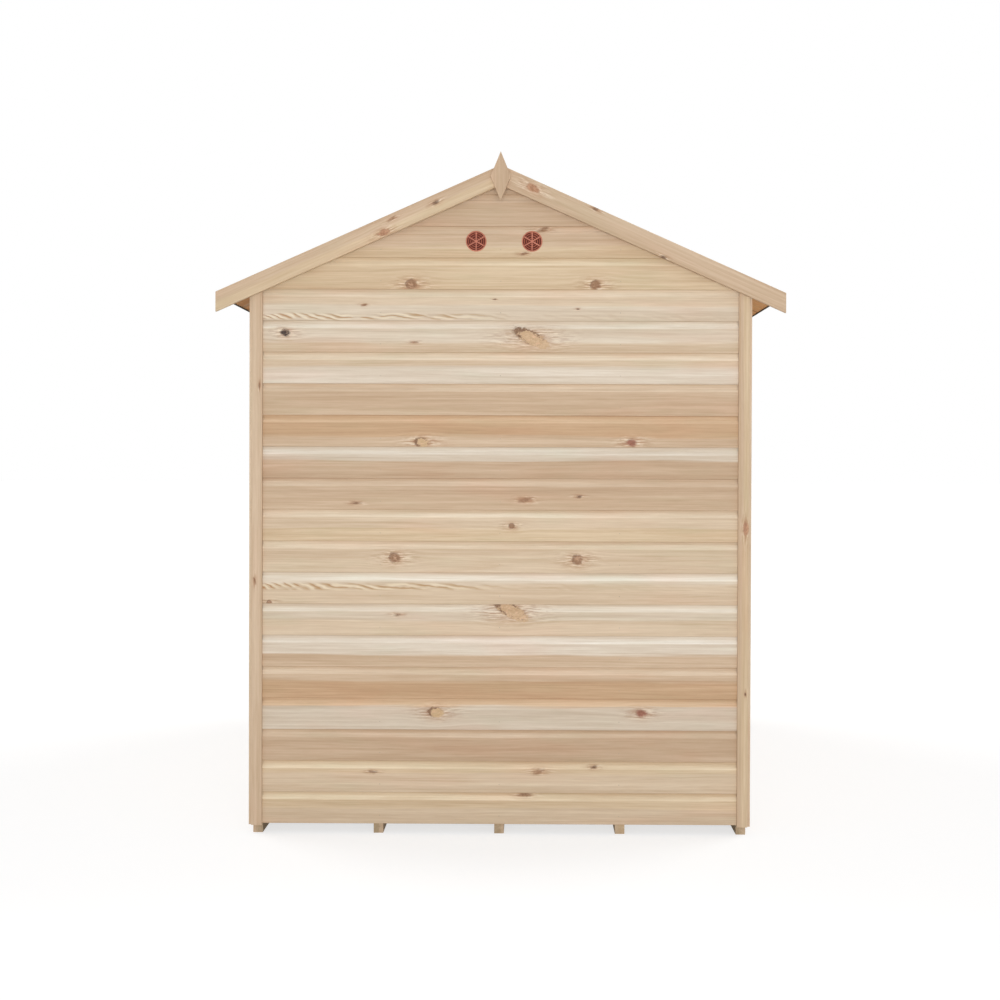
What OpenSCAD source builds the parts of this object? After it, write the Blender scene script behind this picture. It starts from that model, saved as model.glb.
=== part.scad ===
// Summer house with a gable roof, clad in horizontal shiplap boards on a timber frame.
// X runs across the house, Y from the rear gable to the front gable, and Z is up.
// The origin is on the ground under the middle of the house. Left is the -X side.

/* [House] */
// Width over the side cladding
house_w = 1812; // [1760:4:2000]
// Depth over the gable cladding
house_d = 2430; // [1830:10:3050]
// Height of the roof boards' underside where it meets the side cladding
eaves_h = 2014; // [1995:1:2100]
// Pitch of the roof in degrees
roof_pitch = 24; // [21:1:28]

/* [Floor] */
// Width of a floor bearer
bearer_w = 35; // [30:1:50]
// Height of a floor bearer
bearer_h = 35; // [30:1:60]
// Distance of the outer bearers from the outer face of the side cladding
bearer_inset = 5; // [0:1:10]
// Thickness of the floor boards
floor_t = 12; // [10:1:20]

/* [Walls] */
// Thickness of the shiplap boards
clad_t = 12; // [10:1:16]
// Height that one cladding board covers
course_h = 115; // [110:1:118]
// Width of the frame timbers, along the wall
stud_w = 38; // [34:1:45]
// Depth of the frame timbers, through the wall
stud_d = 27; // [25:1:38]
// Width of the corner battens
batten_w = 38; // [30:1:45]
// Thickness of the corner battens
batten_t = 11; // [9:1:16]
// How far the corner battens hang below the cladding
batten_drop = 5; // [0:1:8]

/* [Roof] */
// Thickness of the roof boards
roof_t = 12; // [10:1:18]
// Thickness of the felt
felt_t = 3; // [2:1:4]
// How far the roof boards run out past the side cladding
eaves_overhang = 116; // [80:1:150]
// How far the roof boards run out past the gable cladding
verge_overhang = 20; // [20:1:100]
// Height of a bargeboard, measured upright
barge_h = 72; // [60:1:100]
// Thickness of a bargeboard
barge_t = 16; // [12:1:22]
// How far the bargeboards run out past the roof boards at the eaves
barge_reach = 12; // [4:1:15]

/* [Finials] */
// Width of a finial
finial_w = 73; // [60:1:90]
// Height of a finial
finial_h = 178; // [150:1:220]
// How far a finial's top stands above the bargeboards
finial_rise = 46; // [30:1:60]

/* [Vents] */
// Radius of a vent's rim
vent_r = 37.5; // [37:0.5:46]
// Radius of a vent's tube
vent_tube_r = 34; // [30:1:34]
// Height of the vents' middle above the ground
vent_z = 2165; // [2150:1:2175]
// Sideways place of the left vent
left_vent_x = -90; // [-160:1:-60]
// Sideways place of the right vent
right_vent_x = 114; // [60:1:160]

/* [Doors and windows] */
// Width of the doorway between its casings
doorway_w = 1120; // [1060:4:1160]
// Courses of cladding below the windows
sill_courses = 6; // [4:1:8]
// Courses of cladding up to the head of the doors and windows
head_courses = 16; // [15:1:16]
// Thickness of the doors
door_t = 24; // [20:1:30]
// Width of the doors' uprights
stile_w = 65; // [55:1:75]
// Thickness of the window frames
window_t = 18; // [14:1:22]
// Width of the members of the window frames
window_w = 35; // [30:1:40]
// Thickness of the panes
pane_t = 4; // [3:1:5]

/* [Hidden] */
$fn = 48;

half_w = house_w / 2;
half_d = house_d / 2;
frame_x = half_w - clad_t;
frame_y = half_d - clad_t;
floor_z = bearer_h + floor_t;
rail_z = floor_z + stud_w;
ridge_z = roof_z(0);
slope = cos(roof_pitch);
rail_drop = stud_w / slope;
plate_z = roof_z(frame_x);
stud_gap_x = (2 * frame_x - stud_w) / 4;
stud_gap_y = (2 * (frame_y - stud_d) - stud_w) / 4;
noggin_z = 1000;
eaves_x = half_w + eaves_overhang;
verge_y = half_d + verge_overhang;
felt_lip = 5;
barge_x = eaves_x + barge_reach;
barge_top = (roof_t + felt_t) / slope + 2;
purlin_d = 50;
ridge_d = 70;
verge_batten_t = 20;
verge_drop = 27 / slope;

door_x = doorway_w / 2;
door_lap = 15;
casing_x = door_x + stud_w;
sill_z = bearer_h + sill_courses * course_h;
head_z = bearer_h + head_courses * course_h;
door_gap = 3;
door_low = rail_z + door_gap;
door_high = head_z - door_gap;
door_edge = door_x - 2;
bottom_rail_h = 90;
lock_rail_z = 800;
lock_rail_h = 80;
top_rail_h = 70;
panel_t = 12;
window_right = half_w - batten_w;
window_low = sill_z + 40;
window_high = head_z - window_w;
cover_w = 30;
cover_t = 8;

// Height of the roof boards' underside at a distance from the middle
function roof_z(x) = eaves_h + (half_w - abs(x)) * tan(roof_pitch);

// Block between two opposite corners
module block(from, to) {
    translate(from)
        cube(to - from);
}

// Extrudes an outline drawn in X and Z along Y, from y0 to y1
module along_y(y0, y1) {
    translate([0, y1, 0])
        rotate([90, 0, 0])
            linear_extrude(y1 - y0)
                children();
}

// The child and its mirror image on the left
module both_sides() {
    children();
    mirror([1, 0, 0])
        children();
}

// The child and its mirror image at the rear
module both_ends() {
    children();
    mirror([0, 1, 0])
        children();
}

// Outline between two heights above the roof boards' underside, measured upright
module slope_band(x0, x1, low, high) {
    polygon([
        [x0, roof_z(x0) + low],
        [x1, roof_z(x1) + low],
        [x1, roof_z(x1) + high],
        [x0, roof_z(x0) + high]
    ]);
}

// Outline of a gable from a given height up to the roof
module gable_outline(bottom) {
    polygon([
        [-half_w, bottom],
        [half_w, bottom],
        [half_w, eaves_h],
        [0, ridge_z],
        [-half_w, eaves_h]
    ]);
}

// ---- floor ----

module floor_bearer(n) {
    gap = (house_w - 2 * bearer_inset - bearer_w) / 4;
    x = (n - 3) * gap;
    end_inset = 4;
    color("burlywood")
        block([x - bearer_w / 2, -half_d + end_inset, 0],
              [x + bearer_w / 2, half_d - end_inset, bearer_h]);
}

module floor_boards() {
    color("tan")
        block([-frame_x, -frame_y, bearer_h], [frame_x, frame_y, floor_z]);
}

// ---- wall frames ----

// Uprights of the side walls, spread evenly between the gable frames
module side_studs() {
    color("burlywood")
        both_sides()
            for (i = [-2:2])
                block([frame_x - stud_d, i * stud_gap_y - stud_w / 2, rail_z],
                      [frame_x, i * stud_gap_y + stud_w / 2, plate_z - stud_w]);
}

// Bottom rail, top rail and the short rails between the uprights of the side walls
module side_rails() {
    inner_x = frame_x - stud_d;
    reach_y = frame_y - stud_d;
    color("burlywood")
        both_sides() {
            block([inner_x, -reach_y, floor_z], [frame_x, reach_y, rail_z]);
            block([inner_x, -reach_y, plate_z - stud_w], [frame_x, reach_y, plate_z]);
            for (i = [-2:1])
                block([inner_x, i * stud_gap_y + stud_w / 2, noggin_z],
                      [frame_x, (i + 1) * stud_gap_y - stud_w / 2, noggin_z + stud_w]);
        }
}

// One upright of a gable frame, cut to the slope at its top
module gable_stud(x, bottom) {
    along_y(frame_y - stud_d, frame_y)
        intersection() {
            translate([x - stud_w / 2, bottom])
                square([stud_w, ridge_z - bottom]);
            translate([0, -rail_drop])
                gable_outline(0);
        }
}

// The pair of rails under the roof of a gable frame
module gable_slope_rails() {
    along_y(frame_y - stud_d, frame_y)
        polygon([
            [-frame_x, plate_z - rail_drop],
            [0, ridge_z - rail_drop],
            [frame_x, plate_z - rail_drop],
            [frame_x, plate_z],
            [0, ridge_z],
            [-frame_x, plate_z]
        ]);
}

module rear_studs() {
    color("burlywood")
        mirror([0, 1, 0])
            for (i = [-2:2])
                gable_stud(i * stud_gap_x, rail_z);
}

module rear_rails() {
    inner_y = frame_y - stud_d;
    color("burlywood")
        mirror([0, 1, 0]) {
            block([-frame_x, inner_y, floor_z], [frame_x, frame_y, rail_z]);
            gable_slope_rails();
            for (i = [-2:1])
                block([i * stud_gap_x + stud_w / 2, inner_y, noggin_z],
                      [(i + 1) * stud_gap_x - stud_w / 2, frame_y, noggin_z + stud_w]);
        }
}

// Corner uprights, door posts and the short uprights over the doorway
module front_studs() {
    post_x = door_x - door_lap;
    color("burlywood") {
        both_sides() {
            gable_stud(frame_x - stud_w / 2, rail_z);
            block([post_x, frame_y - stud_d, rail_z], [post_x + stud_w, frame_y, head_z]);
            gable_stud(stud_gap_x, head_z + stud_w);
        }
        gable_stud(0, head_z + stud_w);
    }
}

// Bottom rail, head rail, window rails and the rails under the roof
module front_rails() {
    inner_y = frame_y - stud_d;
    post_x = door_x - door_lap + stud_w;
    reach_x = frame_x - stud_w;
    color("burlywood") {
        block([-frame_x, inner_y, floor_z], [frame_x, frame_y, rail_z]);
        block([-reach_x, inner_y, head_z], [reach_x, frame_y, head_z + stud_w]);
        both_sides()
            block([post_x, inner_y, sill_z], [reach_x, frame_y, sill_z + stud_w]);
        gable_slope_rails();
    }
}

// ---- cladding ----

module right_cladding() {
    color("wheat")
        block([frame_x, -frame_y, bearer_h], [half_w, frame_y, eaves_h]);
}

module left_cladding() {
    mirror([1, 0, 0])
        right_cladding();
}

module rear_cladding() {
    hole_r = vent_tube_r + 0.5;
    color("wheat")
        along_y(-half_d, -frame_y)
            difference() {
                gable_outline(bearer_h);
                for (x = [left_vent_x, right_vent_x])
                    translate([x, vent_z])
                        circle(r = hole_r);
            }
}

module front_gable_cladding() {
    color("wheat")
        along_y(frame_y, half_d)
            gable_outline(head_z);
}

// Cladding below the window, with the strip that backs the corner batten
module front_right_cladding() {
    color("wheat")
        along_y(frame_y, half_d)
            polygon([
                [casing_x, bearer_h],
                [half_w, bearer_h],
                [half_w, head_z],
                [window_right, head_z],
                [window_right, sill_z],
                [casing_x, sill_z]
            ]);
}

module front_left_cladding() {
    mirror([1, 0, 0])
        front_right_cladding();
}

// ---- corner battens ----

// The battens on the faces of both gables, which end under the verge battens
module gable_corner_battens() {
    low = bearer_h - batten_drop;
    inner_x = half_w - batten_w;
    color("burlywood")
        both_sides()
            both_ends()
                along_y(half_d, half_d + batten_t)
                    polygon([
                        [inner_x, low],
                        [half_w, low],
                        [half_w, roof_z(half_w) - verge_drop],
                        [inner_x, roof_z(inner_x) - verge_drop]
                    ]);
}

// The battens at the ends of both side walls
module side_corner_battens() {
    low = bearer_h - batten_drop;
    outer_x = half_w + batten_t;
    color("burlywood")
        both_sides()
            both_ends()
                along_y(half_d - batten_w, half_d)
                    polygon([
                        [half_w, low],
                        [outer_x, low],
                        [outer_x, roof_z(outer_x)],
                        [half_w, roof_z(half_w)]
                    ]);
}

// ---- vents ----

// A round vent with its rim at y = 0 and its outer face towards -Y
module vent() {
    wall = 2;
    rim_t = 3;
    plate_back = 0.5;
    spoke_w = 5;
    hub_r = 7;
    slot_r = vent_tube_r - 3;
    rotate([90, 0, 0])
        difference() {
            rotate_extrude()
                polygon([
                    [0, plate_back],
                    [vent_tube_r - wall, plate_back],
                    [vent_tube_r - wall, -clad_t],
                    [vent_tube_r, -clad_t],
                    [vent_tube_r, 0],
                    [vent_r, 0],
                    [vent_r, rim_t - 1],
                    [vent_r - 1, rim_t],
                    [vent_tube_r + 1, rim_t],
                    [vent_tube_r, rim_t - 1],
                    [0, rim_t - 1]
                ]);
            linear_extrude(rim_t)
                difference() {
                    circle(r = slot_r);
                    circle(r = hub_r);
                    for (a = [30, 90, 150])
                        rotate(a)
                            square([2 * vent_r, spoke_w], center = true);
                }
        }
}

module rear_vents() {
    color("sienna")
        for (x = [left_vent_x, right_vent_x])
            translate([x, -half_d, vent_z])
                vent();
}

// ---- roof ----

module ridge_beam() {
    half_t = stud_w / 2;
    low = ridge_z - ridge_d;
    color("burlywood")
        along_y(-frame_y + stud_d, frame_y - stud_d)
            polygon([
                [-half_t, low],
                [half_t, low],
                [half_t, roof_z(half_t)],
                [0, ridge_z],
                [-half_t, roof_z(half_t)]
            ]);
}

module purlins() {
    x = half_w / 2;
    color("burlywood")
        both_sides()
            along_y(-frame_y + stud_d, frame_y - stud_d)
                translate([x, roof_z(x)])
                    rotate(-roof_pitch)
                        translate([-stud_w / 2, -purlin_d])
                            square([stud_w, purlin_d]);
}

module right_roof_boards() {
    color("peru")
        along_y(-verge_y, verge_y)
            slope_band(0, eaves_x, 0, roof_t / slope);
}

module left_roof_boards() {
    mirror([1, 0, 0])
        right_roof_boards();
}

// The felt lies on the roof boards and turns down over their edge
module right_roof_felt() {
    low = roof_t / slope;
    high = (roof_t + felt_t) / slope;
    outer_x = eaves_x + felt_t;
    color("dimgray")
        along_y(-verge_y, verge_y)
            polygon([
                [0, ridge_z + low],
                [eaves_x, roof_z(eaves_x) + low],
                [eaves_x, roof_z(eaves_x) - felt_lip],
                [outer_x, roof_z(eaves_x) - felt_lip],
                [outer_x, roof_z(outer_x) + high],
                [0, ridge_z + high]
            ]);
}

module left_roof_felt() {
    mirror([1, 0, 0])
        right_roof_felt();
}

// Battens under the ends of the roof boards, which the bargeboards are nailed to
module verge_battens() {
    start_x = 5;
    end_x = eaves_x - 12;
    color("burlywood")
        both_sides()
            both_ends()
                along_y(verge_y - verge_batten_t, verge_y)
                    slope_band(start_x, end_x, -verge_drop, 0);
}

module front_right_bargeboard() {
    color("burlywood")
        along_y(verge_y, verge_y + barge_t)
            slope_band(0, barge_x, barge_top - barge_h, barge_top);
}

module front_left_bargeboard() {
    mirror([1, 0, 0])
        front_right_bargeboard();
}

module rear_right_bargeboard() {
    mirror([0, 1, 0])
        front_right_bargeboard();
}

module rear_left_bargeboard() {
    mirror([0, 1, 0])
        front_left_bargeboard();
}

// Diamond on the face of the bargeboards at the ridge
module front_finial() {
    top = ridge_z + barge_top + finial_rise;
    face_y = verge_y + barge_t;
    color("burlywood")
        along_y(face_y, face_y + barge_t)
            polygon([
                [0, top - finial_h],
                [finial_w / 2, top - finial_h / 2],
                [0, top],
                [-finial_w / 2, top - finial_h / 2]
            ]);
}

module rear_finial() {
    mirror([0, 1, 0])
        front_finial();
}

// ---- windows ----

module right_window_frame() {
    color("burlywood")
        along_y(frame_y, frame_y + window_t)
            difference() {
                translate([casing_x, sill_z])
                    square([window_right - casing_x, head_z - sill_z]);
                translate([casing_x + window_w, window_low])
                    square([window_right - casing_x - 2 * window_w, window_high - window_low]);
            }
}

module left_window_frame() {
    mirror([1, 0, 0])
        right_window_frame();
}

// ---- doors ----

module door_sill() {
    color("burlywood")
        block([-casing_x, frame_y, bearer_h], [casing_x, frame_y + door_t, rail_z]);
}

module door_casings() {
    color("burlywood")
        both_sides()
            block([door_x, frame_y, rail_z], [casing_x, frame_y + door_t, head_z]);
}

// Uprights and rails of the right door, around the panel and the pane
module right_door_frame() {
    inner_low = door_low + bottom_rail_h;
    pane_low = lock_rail_z + lock_rail_h;
    inner_x = door_gap / 2 + stile_w;
    inner_w = door_edge - stile_w - inner_x;
    color("burlywood")
        along_y(frame_y, frame_y + door_t)
            difference() {
                translate([door_gap / 2, door_low])
                    square([door_edge - door_gap / 2, door_high - door_low]);
                translate([inner_x, inner_low])
                    square([inner_w, lock_rail_z - inner_low]);
                translate([inner_x, pane_low])
                    square([inner_w, door_high - top_rail_h - pane_low]);
            }
}

module left_door_frame() {
    mirror([1, 0, 0])
        right_door_frame();
}

// A flat piece that fills the same opening in both doors, between two heights
module door_infill(thickness, low, high) {
    y = frame_y + (door_t - thickness) / 2;
    both_sides()
        block([door_gap / 2 + stile_w, y, low],
              [door_edge - stile_w, y + thickness, high]);
}

module door_panels() {
    color("wheat")
        door_infill(panel_t, door_low + bottom_rail_h, lock_rail_z);
}

// The panes of the windows and of the doors
module panes() {
    y = frame_y + (window_t - pane_t) / 2;
    color("lightcyan", 0.4) {
        both_sides()
            block([casing_x + window_w, y, window_low],
                  [window_right - window_w, y + pane_t, window_high]);
        door_infill(pane_t, lock_rail_z + lock_rail_h, door_high - top_rail_h);
    }
}

// Strip on the left door that covers the gap between the doors
module door_cover_strip() {
    y = frame_y + door_t;
    color("burlywood")
        block([-cover_w / 2, y, door_low], [cover_w / 2, y + cover_t, door_high]);
}

// Three hinges on each door, each with two plates and a knuckle
module door_hinges() {
    plate_w = 24;
    plate_h = 75;
    plate_t = 2;
    knuckle_r = 5;
    y = frame_y + door_t;
    x = door_x - 1;
    color("darkslategray")
        both_sides()
            for (z = [door_low + 140, (door_low + door_high) / 2, door_high - 140]) {
                block([x - plate_w, y, z - plate_h / 2], [x + plate_w, y + plate_t, z + plate_h / 2]);
                translate([x, y + knuckle_r, z - plate_h / 2])
                    cylinder(r = knuckle_r, h = plate_h);
            }
}

// Lever handle on its back plate, on the right door
module door_handle() {
    plate_w = 36;
    plate_h = 150;
    plate_t = 2.5;
    stem_r = 8;
    stem_l = 42;
    lever_r = 7;
    lever_l = 105;
    x = cover_w / 2 + 5 + plate_w / 2;
    y = frame_y + door_t;
    z = lock_rail_z + lock_rail_h + 80;
    color("darkslategray") {
        block([x - plate_w / 2, y, z - plate_h * 0.6], [x + plate_w / 2, y + plate_t, z + plate_h * 0.4]);
        translate([x, y + stem_l, z])
            rotate([90, 0, 0])
                cylinder(r = stem_r, h = stem_l);
        translate([x - stem_r, y + stem_l - lever_r, z])
            rotate([0, 90, 0])
                cylinder(r = lever_r, h = lever_l);
    }
}

floor_bearer(1);  // floor_bearer_1
floor_bearer(2);  // floor_bearer_2
floor_bearer(3);  // floor_bearer_3
floor_bearer(4);  // floor_bearer_4
floor_bearer(5);  // floor_bearer_5
floor_boards();
rear_studs();
rear_rails();
side_studs();
side_rails();
front_studs();
front_rails();
rear_cladding();
left_cladding();
right_cladding();
front_gable_cladding();
front_left_cladding();
front_right_cladding();
gable_corner_battens();
side_corner_battens();
rear_vents();
ridge_beam();
purlins();
left_roof_boards();
right_roof_boards();
left_roof_felt();
right_roof_felt();
verge_battens();
rear_left_bargeboard();
rear_right_bargeboard();
front_left_bargeboard();
front_right_bargeboard();
rear_finial();
front_finial();
left_window_frame();
right_window_frame();
panes();
door_sill();
door_casings();
left_door_frame();
right_door_frame();
door_panels();
door_cover_strip();
door_hinges();
door_handle();
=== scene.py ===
import math
import random

import bmesh
import bpy
from mathutils import Matrix, Vector, noise


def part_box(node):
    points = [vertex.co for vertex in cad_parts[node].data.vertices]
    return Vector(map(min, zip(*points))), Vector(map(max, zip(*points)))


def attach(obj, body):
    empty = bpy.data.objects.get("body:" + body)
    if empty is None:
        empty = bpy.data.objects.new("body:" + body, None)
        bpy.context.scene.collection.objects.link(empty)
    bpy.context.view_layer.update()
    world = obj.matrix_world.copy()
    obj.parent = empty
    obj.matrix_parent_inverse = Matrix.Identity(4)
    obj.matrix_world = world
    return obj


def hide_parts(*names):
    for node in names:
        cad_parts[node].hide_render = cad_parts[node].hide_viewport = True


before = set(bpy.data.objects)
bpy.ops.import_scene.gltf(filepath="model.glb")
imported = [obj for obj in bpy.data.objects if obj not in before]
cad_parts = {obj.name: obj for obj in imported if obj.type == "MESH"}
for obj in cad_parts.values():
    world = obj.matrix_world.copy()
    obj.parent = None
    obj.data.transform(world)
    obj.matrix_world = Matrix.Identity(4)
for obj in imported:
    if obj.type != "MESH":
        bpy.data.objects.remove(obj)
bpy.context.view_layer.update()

# the main lines of the house, all in metres
gableLow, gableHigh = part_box("rear_cladding")
sideLow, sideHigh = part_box("right_cladding")
halfWidth = gableHigh.x
halfDepth = -gableLow.y
wallFoot = gableLow.z
ridgeHeight = gableHigh.z
eavesHeight = sideHigh.z
rise = (ridgeHeight - eavesHeight) / halfWidth      # of the roof, per metre across
slant = math.cos(math.atan(rise))                   # how much of a length on the roof runs across
xAxis, yAxis, zAxis = Vector((1, 0, 0)), Vector((0, 1, 0)), Vector((0, 0, 1))


def roofLine(x):
    return ridgeHeight - abs(x) * rise


class Wire:
    # one socket of a node tree; sums and products of wires add their own Math nodes
    def __init__(self, tree, socket=None):
        self.tree = tree
        self.socket = socket

    # a new node: its settings first, then the values or wires of its sockets; a list holds several wires
    def add(self, kind, settings=None, values=None, out=0):
        node = self.tree.nodes.new(kind)
        for name, value in (settings or {}).items():
            if name == "steps":
                fillRamp(node.color_ramp, value)
            elif name == "items":
                while len(node.index_switch_items) < value:
                    node.index_switch_items.new()
            else:
                setattr(node, name, value)
        for name, value in (values or {}).items():
            for one in value if isinstance(value, list) else [value]:
                if isinstance(one, Wire):
                    self.tree.links.new(one.socket, node.inputs[name])
                else:
                    node.inputs[name].default_value = one
        return Wire(self.tree, node.outputs[out] if len(node.outputs) else None)

    # another output of the node that this wire comes from
    def twin(self, name):
        return Wire(self.tree, self.socket.node.outputs[name])

    def sum(self, operation, *others):
        return self.add("ShaderNodeMath", {"operation": operation}, dict(enumerate(others)))

    def __add__(self, other):
        return self.sum("ADD", self, other)

    def __radd__(self, other):
        return self.sum("ADD", other, self)

    def __sub__(self, other):
        return self.sum("SUBTRACT", self, other)

    def __rsub__(self, other):
        return self.sum("SUBTRACT", other, self)

    def __mul__(self, other):
        return self.sum("MULTIPLY", self, other)

    def __rmul__(self, other):
        return self.sum("MULTIPLY", other, self)

    def __truediv__(self, other):
        return self.sum("DIVIDE", self, other)

    def __rtruediv__(self, other):
        return self.sum("DIVIDE", other, self)

    def __neg__(self):
        return self.sum("MULTIPLY", self, -1.0)


# a colour ramp in steps, as (place, colour)
def fillRamp(ramp, steps):
    ramp.interpolation = "CONSTANT"
    for place, colour in steps[1:-1]:
        ramp.elements.new(place)
    for element, (place, colour) in zip(ramp.elements, steps):
        element.color = colour
    ramp.elements[0].position = steps[0][0]
    ramp.elements[len(steps) - 1].position = steps[-1][0]


def smooth(wire, low, high):
    return wire.add("ShaderNodeMapRange", {"interpolation_type": "SMOOTHSTEP"},
                    {"Value": wire, "From Min": low, "From Max": high})


def parts(vector):
    x = vector.add("ShaderNodeSeparateXYZ", None, {0: vector})
    return x, x.twin("Y"), x.twin("Z")


def joined(x, y, z):
    start = next(wire for wire in (x, y, z) if isinstance(wire, Wire))
    return start.add("ShaderNodeCombineXYZ", None, {0: x, 1: y, 2: z})


def vectorSum(operation, a, b):
    return a.add("ShaderNodeVectorMath", {"operation": operation}, {0: a, 1: b})


def mixColour(factor, a, b):
    return factor.add("ShaderNodeMix", {"data_type": "RGBA"}, {0: factor, 6: a, 7: b}, 2)


# the colour times these shares of red, green and blue, as far as the factor says
def shaded(factor, colour, red, green, blue):
    return mixColour(factor, colour, vectorSum("MULTIPLY", colour, (red, green, blue)))


def attribute(start, label):
    return start.add("ShaderNodeAttribute", {"attribute_name": label}, None, "Vector")


def bell(x, y):
    return x.sum("EXPONENT", -(x * x + y * y))


# noise in a space that is stretched by three scales along X, Y and Z
def grainNoise(vector, scales, detail=2.0, roughness=0.5):
    stretched = vectorSum("MULTIPLY", vector, scales)
    return vector.add("ShaderNodeTexNoise", None,
                      {"Vector": stretched, "Scale": 1.0, "Detail": detail, "Roughness": roughness})


# the same in all directions, for finishes without a grain
def evenNoise(vector, scale, detail=2.0, roughness=0.5):
    return grainNoise(vector, (scale, scale, scale), detail, roughness)


# a colour as it is seen, from 0 to 255 a channel, as the shader wants it
def paint(red, green, blue):
    shares = [channel / 255 for channel in (red, green, blue)]
    return (*[share / 12.92 if share <= 0.04 else ((share + 0.055) / 1.055) ** 2.4 for share in shares], 1.0)


def newMaterial(name):
    material = bpy.data.materials.new(name)
    material.use_nodes = True
    material.node_tree.nodes.clear()
    return material, Wire(material.node_tree)


# a Principled shader with these values, and with a bump of some strength from a height where it has one
def surface(start, values, height=None, strength=0.5):
    if height:
        values["Normal"] = start.add("ShaderNodeBump", None,
                                     {"Strength": strength, "Distance": 1.0, "Height": height}, "Normal")
    return start.add("ShaderNodeBsdfPrincipled", None, values)


def finishMaterial(start, shader):
    start.add("ShaderNodeOutputMaterial", None, {"Surface": shader})


toneColours = {
    "pale": paint(219, 205, 187),
    "milk": paint(215, 199, 178),
    "fawn": paint(207, 191, 171),
    "oat": paint(211, 189, 162),
    "honey": paint(209, 185, 153),
    "tan": paint(202, 176, 148),
    "clay": paint(196, 169, 141),
    "rust": paint(198, 165, 131),
    "blush": paint(208, 180, 156),
    "dusty": paint(188, 168, 140),
    "amber": paint(208, 160, 112),
    # gold is paler than the wood: painted light, for the right soffit only
    "gold": paint(232, 184, 130),
}

# width of a ring, strength of late wood and of streaks, whether sawn, roughness, and strength of the bump
pineSettings = {
    "planed": {"ring": 0.0042, "late": 0.20, "streak": 1.0, "saw": False, "rough": 0.62, "relief": 0.35},
    "sawn": {"ring": 0.0038, "late": 0.40, "streak": 0.9, "saw": True, "rough": 0.82, "relief": 0.8},
}

# kinds of knot: colour, length over height, softness of the edge, dark rim, and how it leans
knotKinds = {
    "dash": (paint(138, 106, 78), 3.4, 0.90, 0.0, 0.0),
    "spot": (paint(104, 74, 52), 1.9, 0.80, 0.1, -0.1),
    "smudge": (paint(152, 115, 84), 2.8, 0.75, 0.1, -0.25),
    "branch": (paint(150, 112, 82), 1.05, 0.40, 0.7, 0.0),
    "oval": (paint(207, 176, 141), 2.3, 0.16, 1.0, 0.42),
    "eye": (paint(208, 178, 139), 1.5, 0.30, 0.9, 0.05),
    "red": (paint(150, 92, 72), 1.5, 0.55, 0.2, 0.1),
    "dead": (paint(40, 22, 26), 1.2, 0.40, 0.2, 0.0),
    "plain": (paint(184, 138, 106), 2.0, 0.22, 0.15, 0.0),
}
knotPlaces = {kind: (number + 0.5) / len(knotKinds) for number, kind in enumerate(knotKinds)}
longestKnot = 4.0       # the ramp of forms holds lengths as shares of this
knotNames = ("knotA", "knotB", "knotC")


# a signed pattern turns wood paler and greyer where it is high, and darker and warmer where it is low
def tint(colour, pattern, amount):
    swing = vectorSum("MULTIPLY", pattern, tuple(share * amount for share in (0.135, 0.180, 0.230)))
    return vectorSum("MULTIPLY", colour, vectorSum("ADD", swing, (1.0, 1.0, 1.0)))


# the two sides of a noise, from -1 to 1, with a soft step between them
def plateau(pattern, width):
    return smooth(pattern, 0.5 - width, 0.5 + width) * 2.0 - 1.0


# the nearest of a board's three knots: the way from its middle, its radius, and its place on the ramps
def nearestKnot(start, along, across):
    best = None
    noRadius, farAway = 0.0005, 99.0
    for label in knotNames:
        knot = attribute(start, label)
        x, y, radius = parts(knot)
        wayX, wayY = along - x, across - y
        distance = start.sum("SQRT", wayX * wayX * 0.3 + wayY * wayY) - radius
        distance = distance + start.sum("LESS_THAN", radius, noRadius) * farAway
        one = [distance, wayX, wayY, radius, knot.twin("Alpha")]
        if best:
            closer = start.sum("LESS_THAN", distance, best[0])
            one = [old + closer * (new - old) for old, new in zip(best, one)]
        best = one
    return best[1:]


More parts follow.
